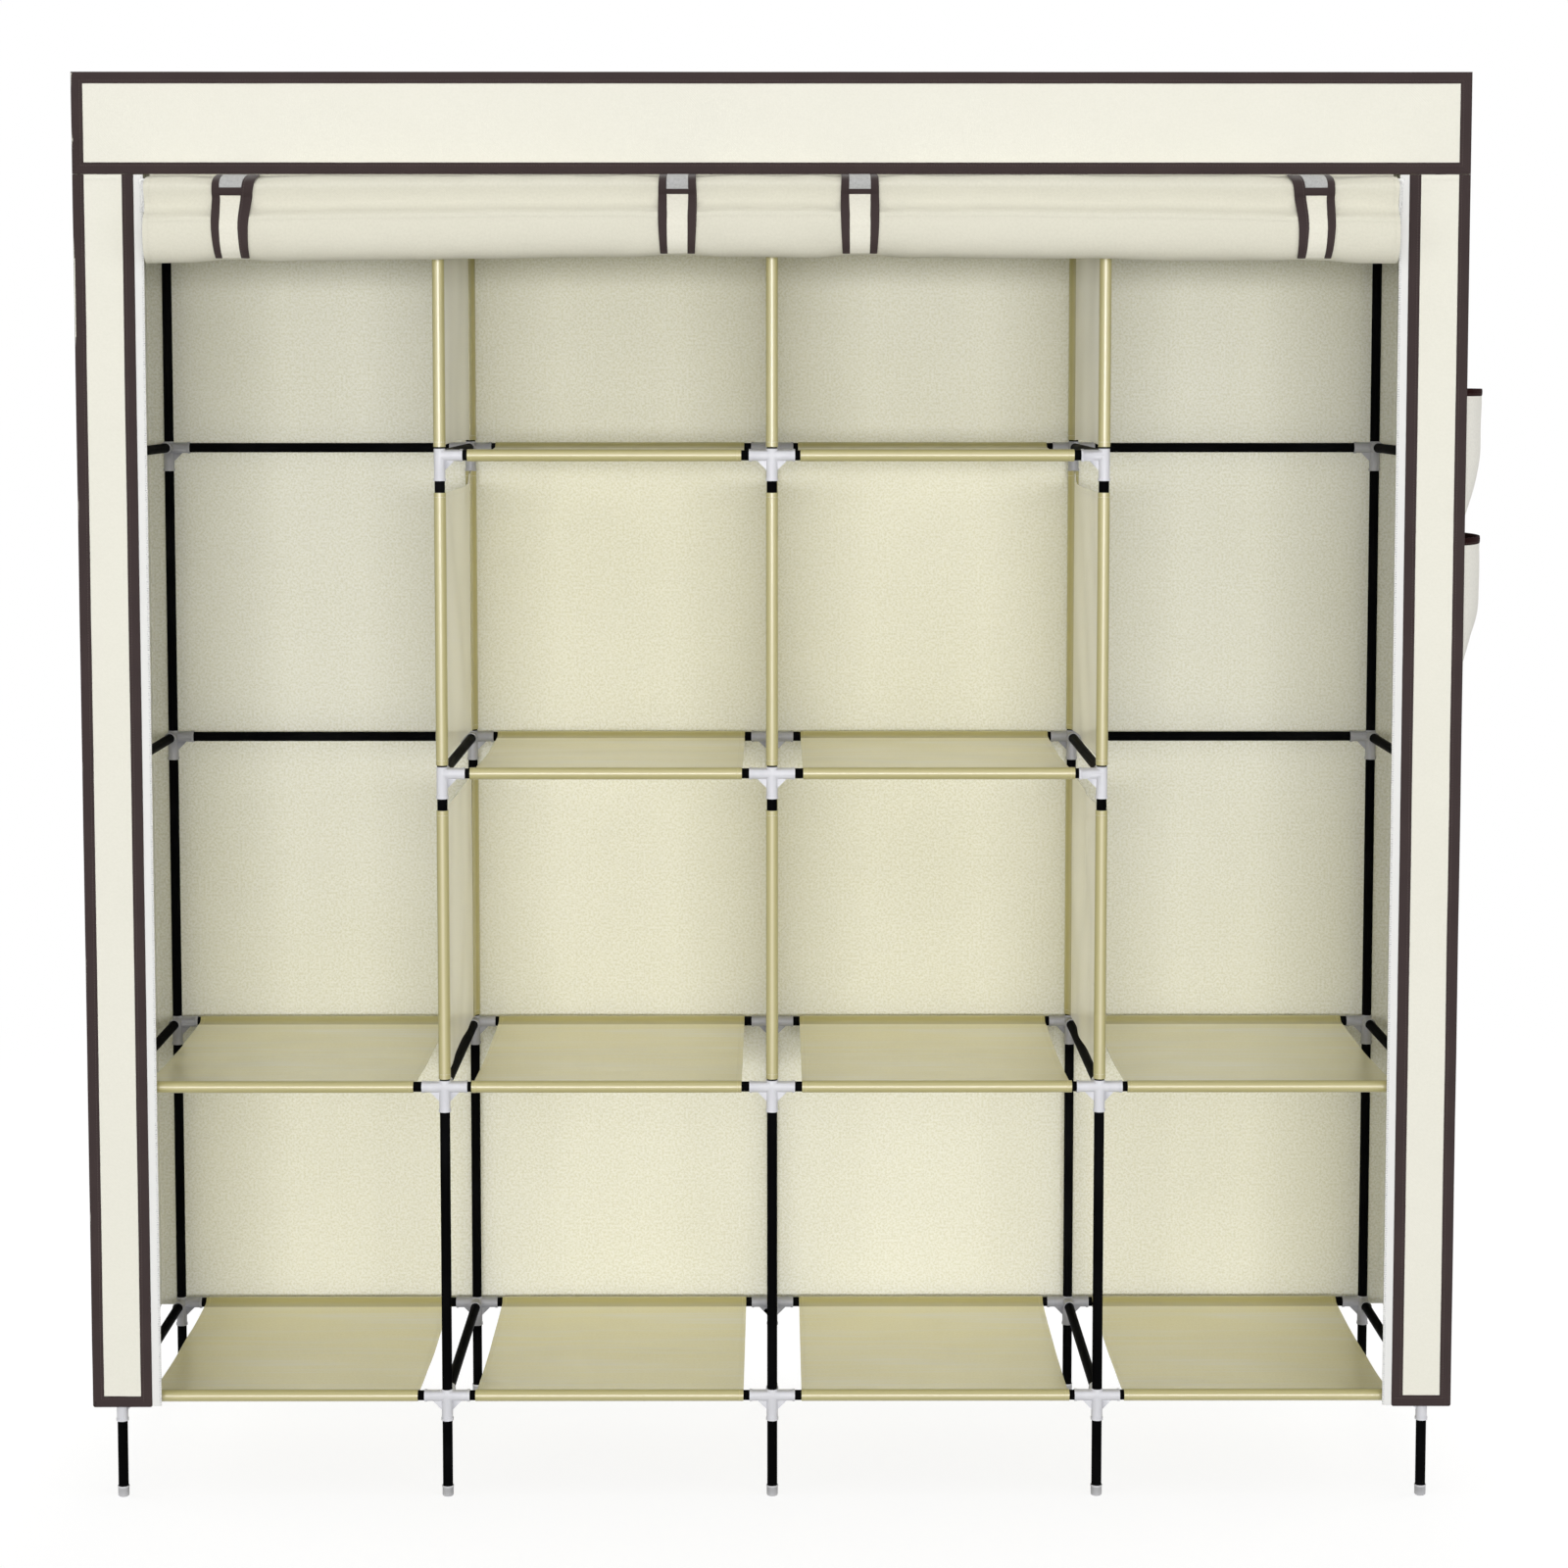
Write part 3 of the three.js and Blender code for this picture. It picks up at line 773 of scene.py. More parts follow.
@dataclass(frozen=True)
class BindingTape:
    """Woven tape, folded over an edge and sewn down beside its inner edge."""

    name: str = "dark_binding"
    colour: Colour = (46, 34, 34)
    light: Colour = (62, 49, 48)
    width: float = 0.0135
    rib_pitch: float = 0.0011
    stitch_pitch: float = 0.0032
    specular: float = 0.3
    fuzz: float = 0.15
    stitch: Colour = (104, 90, 86)

    def material(self) -> bpy.types.Material:
        """Build the tape's material."""
        s = Shader(self.name)
        place = s.cloth()
        run, across = s.split(place)
        rib = s.ribs(run + across * 0.8, self.rib_pitch)
        yarn = s.noise(s.stretched(place, (900, 2600, 1)), 1.0, 3.0, 0.6)
        tone = rib * 0.35 + yarn * 0.3 + s.step(s.noise(place, 14.0, 3.0), 0.35, 0.75, 0.0, 0.3)
        beside = abs(across - self.width * 0.84)
        thread = s.thread(beside, run, self.stitch_pitch, 0.0002)
        relief = rib * 0.6 + yarn * 0.5 - s.step(beside, 0.0003, 0.0014, 1.6, 0.0) + thread * 1.6
        return s.finish(
            s.blend(thread * 0.5, s.blend(tone, self.colour, self.light), self.stitch),
            s.bump(relief, 0.00014),
            0.78,
            self.specular,
            sheen_weight=self.fuzz,
            sheen_roughness=0.45,
        )


@dataclass(frozen=True)
class CoatedTube:
    """Black powder-coated steel, a little rubbed and dusty."""

    name: str = "black_coated_tube"
    colour: Colour = (10, 10, 11)
    rubbed: Colour = (30, 30, 32)

    def material(self) -> bpy.types.Material:
        """Build the tube's material."""
        s = Shader(self.name)
        place = s.space()
        cloud = s.noise(place, 9.0, 3.0)
        scratch = s.noise(s.stretched(place, (420, 420, 60)), 1.0, 3.0, 0.6)
        worn = s.step(cloud, 0.45, 0.75) * 0.35 + s.step(scratch, 0.66, 0.74) * 0.35
        return s.finish(
            s.blend(worn, self.colour, self.rubbed),
            s.bump(s.noise(place, 700.0), 0.00004),
            s.step(cloud, 0.3, 0.75, 0.28, 0.4),
            0.001,
        )


@dataclass(frozen=True)
class MouldedPlastic:
    """Injection-moulded plastic with a faint texture and a few flow marks."""

    name: str = "grey_moulded_plastic"
    colour: Colour = (214, 214, 220)
    shade: Colour = (184, 185, 193)
    rubbed: Colour = (236, 236, 240)

    def material(self) -> bpy.types.Material:
        """Build the plastic's material."""
        s = Shader(self.name)
        place = s.space()
        flow = s.noise(s.stretched(place, (60, 60, 22)), 1.0, 3.0, 0.55)
        pointed = s.pointed()
        # Darker in the hollows by pointiness: painted shade; the flow marks are random tone of the plastic
        tone = s.step(flow, 0.3, 0.75, 0.0, 0.6) + s.step(pointed, 0.42, 0.5, 0.6, 0.0)
        colour = s.blend(tone, self.colour, self.shade)
        return s.finish(
            s.blend(s.step(pointed, 0.5, 0.56) * 0.5, colour, self.rubbed),
            s.bump(s.noise(place, 1400.0), 0.00005),
            s.step(flow, 0.2, 0.8, 0.36, 0.5),
            0.45,
        )


@dataclass(frozen=True)
class ZipTape:
    """White woven zip tape."""

    name: str = "white_zip_tape"
    colour: Colour = (248, 248, 246)
    shade: Colour = (228, 228, 224)
    rib_pitch: float = 0.0012

    def material(self) -> bpy.types.Material:
        """Build the tape's material."""
        s = Shader(self.name)
        place = s.cloth()
        run, across = s.split(place)
        rib = s.ribs(run + across, self.rib_pitch)
        yarn = s.noise(s.stretched(place, (2200, 800, 1)), 1.0, 3.0, 0.6)
        colour = s.blend(rib * 0.35 + yarn * 0.4, self.colour, self.shade)
        return s.finish(colour, s.bump(rib + yarn, 0.0001), 0.7, 0.3, sheen_weight=0.1)


@dataclass(frozen=True)
class LacqueredMetal:
    """White-lacquered zinc or nylon, as on a zip's slider and teeth."""

    name: str = "white_lacquer"
    colour: Colour = (238, 238, 236)
    worn: Colour = (176, 176, 178)

    def material(self) -> bpy.types.Material:
        """Build the lacquer's material."""
        s = Shader(self.name)
        chips = s.noise(s.space(), 900.0, 3.0, 0.6)
        wear = s.step(s.pointed(), 0.52, 0.6) * s.step(chips, 0.45, 0.6)
        colour = s.blend(wear, self.colour, self.worn)
        return s.finish(colour, s.bump(chips, 0.00004), s.step(chips, 0.3, 0.7, 0.28, 0.42), 0.5)


@dataclass(frozen=True)
class LoopPatch:
    """The fuzzy half of a hook-and-loop fastener."""

    name: str = "grey_loop_patch"
    colour: Colour = (206, 206, 204)
    shade: Colour = (150, 150, 150)

    def material(self) -> bpy.types.Material:
        """Build the patch's material."""
        s = Shader(self.name)
        place = s.cloth()
        loops, clumps = s.noise(place, 1500.0, 4.0, 0.7), s.noise(place, 260.0, 3.0, 0.6)
        tone = s.step(loops, 0.35, 0.7, 0.0, 0.7) + s.step(clumps, 0.4, 0.8, 0.0, 0.4)
        colour = s.blend(tone, self.colour, self.shade)
        return s.finish(colour, s.bump(loops + clumps, 0.0005), 0.9, 0.2, sheen_weight=0.35)


# The wardrobe's plan


def middle_of(node: str) -> Vector:
    """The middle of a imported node's box."""
    low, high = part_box(node)
    return (low + high) / 2


def side_title(side: int) -> str:
    """The name of a side: left for -1 and right for 1."""
    return "left" if side < 0 else "right"


class Level(Enum):
    """The five levels of rails and their heights."""

    BOTTOM = 0.129
    LOWER = 0.523
    MIDDLE = 0.917
    UPPER = 1.311
    TOP = 1.766

    @property
    def title(self) -> str:
        """The level's name in node names."""
        return self.name.lower()

    @property
    def frame(self) -> str:
        """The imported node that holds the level's rails and joints."""
        return f"{self.title}_frame"


@dataclass(frozen=True)
class Plan:
    """Where columns, rows and cover panels stand."""

    columns: tuple[float, ...]
    front: float
    rear: float
    left: float
    right: float
    cover_rear: float
    band_foot: float = 1.6537
    roof_top: float = 1.7757
    hem: float = 0.121
    strip: float = 0.073
    tape: float = 0.012
    cloth: float = 0.001
    cover_gap: float = 0.020

    @staticmethod
    def of_model() -> "Plan":
        """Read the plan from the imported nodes."""
        low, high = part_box("cover_back")
        return Plan(
            columns=tuple(middle_of(f"front_post_{i}").x for i in range(1, 6)),
            front=middle_of("front_post_1").y,
            rear=middle_of("rear_post_1").y,
            left=low.x,
            right=high.x,
            cover_rear=high.y,
        )

    @property
    def rows(self) -> tuple[tuple[str, float], ...]:
        """The names of the two rows of posts and their places from front to rear."""
        return (("front", self.front), ("rear", self.rear))

    @property
    def middle(self) -> float:
        """The x of the wardrobe's middle column."""
        return self.columns[2]

    @property
    def halfway(self) -> float:
        """The y halfway between the front and the rear posts."""
        return (self.front + self.rear) / 2

    @property
    def cover_front(self) -> float:
        """The y of the cover's front, a gap ahead of the front posts' middles."""
        return self.front - self.cover_gap

    @property
    def face(self) -> float:
        """The y of the middle of the front's cloth."""
        return self.cover_front + self.cloth / 2

    @property
    def wall_top(self) -> float:
        """The height where the walls meet the roof."""
        return self.roof_top - self.cloth

    @property
    def width(self) -> float:
        """The cover's width."""
        return self.right - self.left

    @property
    def depth(self) -> float:
        """The cover's depth."""
        return self.cover_rear - self.cover_front

    def edge(self, side: int) -> float:
        """The x of the cover's outer edge on a side."""
        return self.left if side < 0 else self.right

    def opening(self, side: int) -> float:
        """The x of the inner edge of a side's front strip."""
        return self.edge(side) - side * self.strip

    def between_posts(self, y: Array, margin: float = 0.0) -> Array:
        """How far back y is, from 0 at the front posts to 1 at the rear ones, each moved in by a margin."""
        return np.clip((y - self.front - margin) / (self.rear - self.front - 2 * margin), 0, 1)

    def open_in_front(self, level: Level, bay: int) -> bool:
        """Whether a bay has no front rail at a level."""
        return level in (Level.MIDDLE, Level.UPPER) and bay in (0, 3)


# Frame


@dataclass
class TubeFrame:
    """Black steel tubes held by grey plastic joints, on capped feet."""

    plan: Plan
    tube: float = 0.00635
    wall: float = 0.0008
    bore_depth: float = 0.012
    sleeve: float = 0.0071
    rim: float = 0.00785
    rim_length: float = 0.0032
    slack: float = 0.0003
    arm: float = 0.0285
    down: float = 0.0315
    head: float = 0.0084
    web: float = 0.0115
    web_thickness: float = 0.003
    web_root: float = 0.9
    cap_radius: float = 0.00745
    cap_height: float = 0.0137
    cap_lip: float = 0.0021
    cap_step: float = 0.0004
    cap_round: float = 0.0022
    cap_bore: float = 0.0100
    socket_bore: float = 0.004
    head_round: float = 0.0008
    post_foot: float = 0.0034
    rail_gap: float = 0.011
    rod_drop: float = 0.022
    rod_overhang: float = 0.006
    clip: float = 0.004
    clip_grip: float = 0.9
    clip_neck: float = 1.6
    sides: int = 28

    def build(self) -> None:
        """Build the whole frame."""
        self.tube_finish = CoatedTube().material()
        self.plastic = MouldedPlastic().material()
        # The rear joints' plastic is the front joints' grey painted darker: painted shade for the rear row
        # inside the cover
        self.rear_plastic = MouldedPlastic(
            "grey_rear_plastic", (160, 160, 165), (116, 117, 123), (190, 190, 194)
        ).material()
        self.cap_plastic = MouldedPlastic("grey_cap_plastic", (186, 186, 188), (150, 150, 154)).material()
        self.posts()
        self.joints()
        self.rails()
        self.rods()

    def cylinder(self, name: str, radius: float, start: Vector, end: Vector) -> Piece:
        """Add a cylinder between two points, with its place in its mesh."""
        run = end - start
        deselect_everything()
        bpy.ops.mesh.primitive_cylinder_add(
            vertices=self.sides,
            radius=radius,
            depth=run.length,
            location=(start + end) / 2,
            rotation=run.to_track_quat("Z", "Y").to_euler(),
        )
        return settle(bpy.context.object, name)

    def pipe(self, name: str, start: Place, end: Place) -> Piece:
        """Model a tube that is hollow at its ends, from one end of its axis to the other."""
        start, end = Vector(start), Vector(end)
        pipe = self.cylinder(name, self.tube, start, end)
        along = (end - start).normalized()
        with editing(pipe):
            for direction in (along, -along):
                end_faces(pipe, direction)
                inset(self.wall)
                extrude(direction * -self.bore_depth)
        smooth(pipe)
        return pipe

    def tube_at(self, template: Piece, name: str, node: str, place: Place) -> None:
        """Copy a tube to a place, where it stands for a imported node."""
        dress(copy_of(template, name, Matrix.Translation(place)), self.tube_finish, nodes=[node])

    def posts(self) -> None:
        """Model one post and one foot cap and copy them to every column."""
        post = self.pipe("post", (0, 0, self.post_foot), (0, 0, Level.TOP.value + self.tube))
        cap = self.foot_cap()
        for row, y in self.plan.rows:
            for i, x in enumerate(self.plan.columns, 1):
                self.tube_at(post, f"tube_{row}_post_{i}", f"{row}_post_{i}", (x, y, 0))
                node = f"{row}_foot_cap_{i}"
                foot = copy_of(cap, f"round_{node}", Matrix.Translation((x, y, 0)))
                dress(foot, self.cap_plastic, nodes=[node])
        discard(post, cap)

    def foot_cap(self) -> Piece:
        """Model a foot cap: a cup with a rounded foot, a lip and a bore for the post."""
        body = self.cap_radius - self.cap_step
        cap = self.cylinder("foot_cap", body, Vector(), Vector((0, 0, self.cap_height - self.cap_lip)))
        with editing(cap):
            end_faces(cap, DOWN)
            bpy.ops.mesh.bevel(offset=self.cap_round, segments=4, affect="EDGES", profile=0.5)
            middle = end_faces(cap, UP)
            extrude(Vector())
            resize((self.cap_radius / body,) * 3, middle)
            extrude(Vector((0, 0, self.cap_lip)))
            inset(self.wall)
            extrude(Vector((0, 0, -self.cap_bore)))
        return ease_edges(cap, 0.0003, 0.9)

    def socket(self, name: str, direction: Vector, start: float, reach: float) -> Piece:
        """Model a socket with a raised rim at its mouth.

        Args:
            name: The piece's name.
            direction: The way that it points.
            start: Where it starts along that direction.
            reach: Where its mouth is.

        Returns:
            The socket.
        """
        socket = self.cylinder(name, self.sleeve, direction * start, direction * (reach - self.rim_length))
        with editing(socket):
            middle = end_faces(socket, direction)
            extrude(Vector())
            resize((self.rim / self.sleeve,) * 3, middle)
            extrude(direction * self.rim_length)
            inset(self.rim - self.tube - self.slack)
            extrude(direction * -self.socket_bore)
        return socket

    def web_plate(self, name: str, side: int) -> Piece:
        """Model the triangular web below a side arm."""
        root, tip = self.tube * self.web_root, self.sleeve + self.web
        low, high = -self.rim - self.web, -self.tube / 2
        plate = cube(name, (0, 0, 0), (1, 1, 1))
        for vertex in plate.data.vertices:
            far = vertex.co.x > 0
            z = high if vertex.co.z > 0 else (-self.tube if far else low)
            y = math.copysign(self.web_thickness / 2, vertex.co.y)
            vertex.co = Vector((side * (tip if far else root), y, z))
        face_outward(plate)
        return plate

    def joint(self, name: str, arms: tuple[int, ...]) -> Piece:
        """Model a joint of the front row, with the post along Z and a depth arm along +Y.

        Args:
            name: The piece's name.
            arms: The sides that have an arm, -1 or 1.

        Returns:
            The joint.
        """
        body = self.socket(name, DOWN, -self.head, self.down)
        with editing(body):
            end_faces(body, UP)
            bpy.ops.mesh.bevel(offset=self.head_round, segments=2, affect="EDGES")
        parts = [self.socket("depth_arm", Vector((0, 1, 0)), 0.0, self.arm)]
        for side in arms:
            parts.append(self.socket("side_arm", Vector((side, 0, 0)), 0.0, self.arm))
            parts.append(self.web_plate("web", side))
        union(body, parts)
        return ease_edges(body, 0.0004, 0.7)

    def joints(self) -> None:
        """Copy the four kinds of joint to every crossing."""
        kinds = {arms: self.joint("joint", arms) for arms in ((-1, 1), (-1,), (1,), ())}
        for level in Level:
            for row, y in self.plan.rows:
                for i, x in enumerate(self.plan.columns):
                    bays = [b for b in (i - 1, i) if 0 <= b < 4]
                    if row == "front":
                        bays = [b for b in bays if not self.plan.open_in_front(level, b)]
                    arms = tuple(-1 if b < i else 1 for b in bays)
                    move, finish = Matrix.Translation((x, y, level.value)), self.plastic
                    if row == "rear":
                        arms = tuple(sorted(-a for a in arms))
                        # Rear joints take the darker copy of the plastic: painted shade
                        move, finish = move @ Matrix.Rotation(math.pi, 4, "Z"), self.rear_plastic
                    piece = copy_of(kinds[arms], f"joint_{level.title}_{row}_{i + 1}", move)
                    dress(piece, finish, nodes=[level.frame])
        discard(*kinds.values())

    def rails(self) -> None:
        """Model one rail and one depth rail and copy them to their places."""
        plan, gap = self.plan, self.rail_gap
        rail = self.pipe("rail", (gap, 0, 0), (plan.columns[1] - plan.columns[0] - gap, 0, 0))
        cross = self.pipe("cross", (0, gap, 0), (0, plan.rear - plan.front - gap, 0))
        for level in Level:
            for bay in range(4):
                for row, y in plan.rows:
                    if row == "rear" or not plan.open_in_front(level, bay):
                        place = (plan.columns[bay], y, level.value)
                        self.tube_at(rail, f"rail_{level.title}_{row}_{bay + 1}", level.frame, place)
            for i, x in enumerate(plan.columns, 1):
                place = (x, plan.front, level.value)
                self.tube_at(cross, f"rail_{level.title}_depth_{i}", level.frame, place)
        discard(rail, cross)

    def rods(self) -> None:
        """Hang a rod in each outer bay from two clips on the depth rails."""
        y, z = self.plan.halfway, Level.TOP.value
        low, past = z - self.rod_drop, self.rod_overhang
        for bay in (0, 3):
            start, end = self.plan.columns[bay : bay + 2]
            rod = self.pipe(f"hanging_rod_{bay + 1}", (start - past, y, low), (end + past, y, low))
            dress(rod, self.tube_finish, nodes=[Level.TOP.frame])
            for x, title in ((start, "left"), (end, "right")):
                clip = self.clip_piece(f"rod_clip_{bay + 1}_{title}", Vector((x, y, z)))
                dress(clip, self.plastic, nodes=[Level.TOP.frame])

    def clip_piece(self, name: str, place: Vector) -> Piece:
        """Model a clip: a ring round the depth rail at a place, a neck and a ring round the rod."""
        half = Vector((0, self.rim, 0))
        ring = self.cylinder(name, self.rim, place - half, place + half)
        below = place - Vector((0, 0, self.rod_drop))
        wide = Vector((self.rim, 0, 0)) * self.clip_grip
        lower = self.cylinder("lower_ring", self.rim, below - wide, below + wide)
        size = (self.clip, self.tube * self.clip_neck, self.rod_drop)
        neck = cube("neck", (place + below) / 2, size)
        union(ring, [lower, neck])
        return ease_edges(ring, 0.0005, 0.7)


# Shelves and partitions


@dataclass(frozen=True)
class SewnLine:
    """The section of a sheet that is wrapped round two tubes and sewn to itself beside each."""

    front: float
    rear: float
    turned: bool = False
    tilt: float = 0.0
    radius: float = 0.0071
    lap: float = 0.024
    seam: float = 0.016
    mouth: float = 0.010

    def points(self) -> tuple[Array, Array, Array]:
        """Draw the section.

        Returns:
            The line across the sheet's plane and along it, how far each point is on a sleeve or its lap, and
            how strong the painted highlight is there, strongest at the middle of the front sleeve's face.
        """
        turn = np.radians(np.linspace(-26, -334, 26))
        sleeve = together(self.radius * np.sin(turn), self.front + self.radius * np.cos(turn))
        under = [(-0.0011, self.lap), (-0.0011, self.seam), (-0.0018, self.mouth)]
        over = [(0.0010, self.mouth), (0.0, self.seam), (0.0, self.lap - 0.001)]
        shift = (0.0, self.front)
        half = np.concatenate([np.array(under) + shift, sleeve, np.array(over) + shift])
        along = np.linspace(self.front + self.lap + 0.001, self.rear - self.lap - 0.001, 27)
        mirror = together(half[::-1, 0] * (-1 if self.turned else 1), self.front + self.rear - half[::-1, 1])
        line = np.concatenate([half, together(0.0, along), mirror])
        wrapped = np.ones(len(line))
        wrapped[len(half) : -len(half)] = 0
        # crest: a painted highlight, strongest where the front sleeve's face looks toward the light, turned
        # up by the tilt
        crest = np.zeros(len(line))
        look = np.abs(np.degrees(turn) + 180 + self.tilt)
        crest[len(under) : len(under) + len(turn)] = 1 - smoothstep(look, 4, 28)
        return line, wrapped, crest


@dataclass
class Shelves:
    """Cloth shelves, each one sheet with a sleeve round its front and rear rails."""

    plan: Plan
    end_gap: float = 0.036
    uneven: float = 0.003
    thickness: float = 0.0009
    margin: float = 0.02
    sag: float = 0.0035
    ripple: float = 0.0011

    def build(self) -> None:
        """Build the twelve shelves."""
        finish = NonWovenCloth(
            "khaki_shelf_cloth",
            (246, 238, 187),
            (234, 224, 161),
            hem_inset=0.005,
            roughness=0.42,
            specular=0.5,
            # Sleeve: khaki darkened with painted shade, then a painted highlight; the light streaks are
            # painted sheen
            sleeve=((184, 175, 116), (208, 198, 151)),
            painted_sheen=(244, 240, 214),
            satin=1.0,
        )
        self.cloth = Cloth(finish.material(), Slot.SHELF, self.thickness)
        for level in (Level.BOTTOM, Level.LOWER, Level.MIDDLE, Level.UPPER):
            for bay in range(4):
                if not self.plan.open_in_front(level, bay):
                    self.shelf(level, bay)

    def shelf(self, level: Level, bay: int) -> None:
        """Sew one shelf.

        Args:
            level: The level that it lies at.
            bay: The bay that it spans, from 0.
        """
        plan, seed = self.plan, int(level.value * 1000) + bay
        line, wrapped, crest = SewnLine(plan.front, plan.rear, tilt=8.0).points()
        start, end = plan.columns[bay] + self.end_gap, plan.columns[bay + 1] - self.end_gap
        ease = np.random.default_rng(seed).uniform(-self.uneven, self.uneven)
        x, y = lattice(np.linspace(start + ease, end + ease, 22), line[:, 1])
        belly = np.sin(np.pi * plan.between_posts(y, self.margin)) ** 0.8 * (1 - wrapped)
        side = np.abs(2 * (x - start) / (end - start) - 1)
        z = line[:, 0] - belly * self.sag * (1 + 0.35 * side**3)
        z = z + belly * self.ripple * soft_noise(x, y, 0.14, seed) + level.value
        node = f"{level.title}_shelf_{bay + 1}"
        # crest carries the painted highlight on the front sleeve
        painted = {"sleeve": wrapped, "crest": crest}
        obj = self.cloth.cut(f"cloth_{node}", together(x, y, z), [node], painted=painted)


@dataclass
class Partitions:
    """Cloth partitions, each one sheet with a sleeve round a front and a rear post."""

    plan: Plan
    thickness: float = 0.0009
    foot_gap: float = 0.0104
    head_gap: float = 0.046
    ripple: float = 0.0028
    waist: float = 0.006
    corner_rise: float = 0.015
    corner_start: float = 0.05
    corner_end: float = 0.012

    def build(self) -> None:
        """Build the nine partitions."""
        finish = NonWovenCloth(
            "cream_partition_cloth",
            (254, 252, 243),
            (246, 243, 230),
            speckle=0.45,
            roughness=0.5,
            specular=0.5,
            # Sleeve: khaki darkened with painted shade, then a painted highlight; the light streaks are
            # painted sheen
            sleeve=((182, 173, 116), (209, 200, 156)),
            painted_sheen=(255, 254, 246),
            streak_scale=(60.0, 2.2, 1.0),
            satin=1.0,
        )
        self.cloth = Cloth(finish.material(), Slot.PARTITION, self.thickness)
        for title, floor, ceiling in (
            ("low", Level.LOWER, Level.MIDDLE),
            ("mid", Level.MIDDLE, Level.UPPER),
            ("high", Level.UPPER, Level.TOP),
        ):
            for column in (1, 2, 3):
                self.partition(title, floor.value, ceiling.value, column)

    def partition(self, title: str, floor: float, ceiling: float, column: int) -> None:
        """Sew one partition.

        Args:
            title: The storey's name.
            floor: The height of the level below it.
            ceiling: The height of the level above it.
            column: The column that it stands at, from 0.
        """
        plan, seed = self.plan, int(floor * 1000) + 31 * column
        line, wrapped, crest = SewnLine(plan.front, plan.rear, turned=True).points()
        foot, head = floor + self.foot_gap, ceiling - self.head_gap
        y, z = lattice(line[:, 1], np.linspace(foot, head, 34))
        loose = (1 - wrapped)[:, None] * np.sin(np.pi * plan.between_posts(y))
        x = line[:, 0, None] + loose * self.ripple * soft_noise(y, z * 0.7, 0.17, seed) + plan.columns[column]
        rise = (z - foot) / (head - foot)
        z = z - loose * (rise - 0.5) * self.waist
        if title == "mid":
            near = smoothstep(y, plan.rear - self.corner_start, plan.rear - self.corner_end)
            z = z + self.corner_rise * rise**8 * near
        node = f"{title}_partition_{column + 1}"
        # crest carries the painted highlight on the front sleeve
        painted = {"sleeve": wrapped[:, None], "crest": crest[:, None]}
        obj = self.cloth.cut(f"cloth_{node}", together(x, y, z), [node], painted=painted)


# Cover


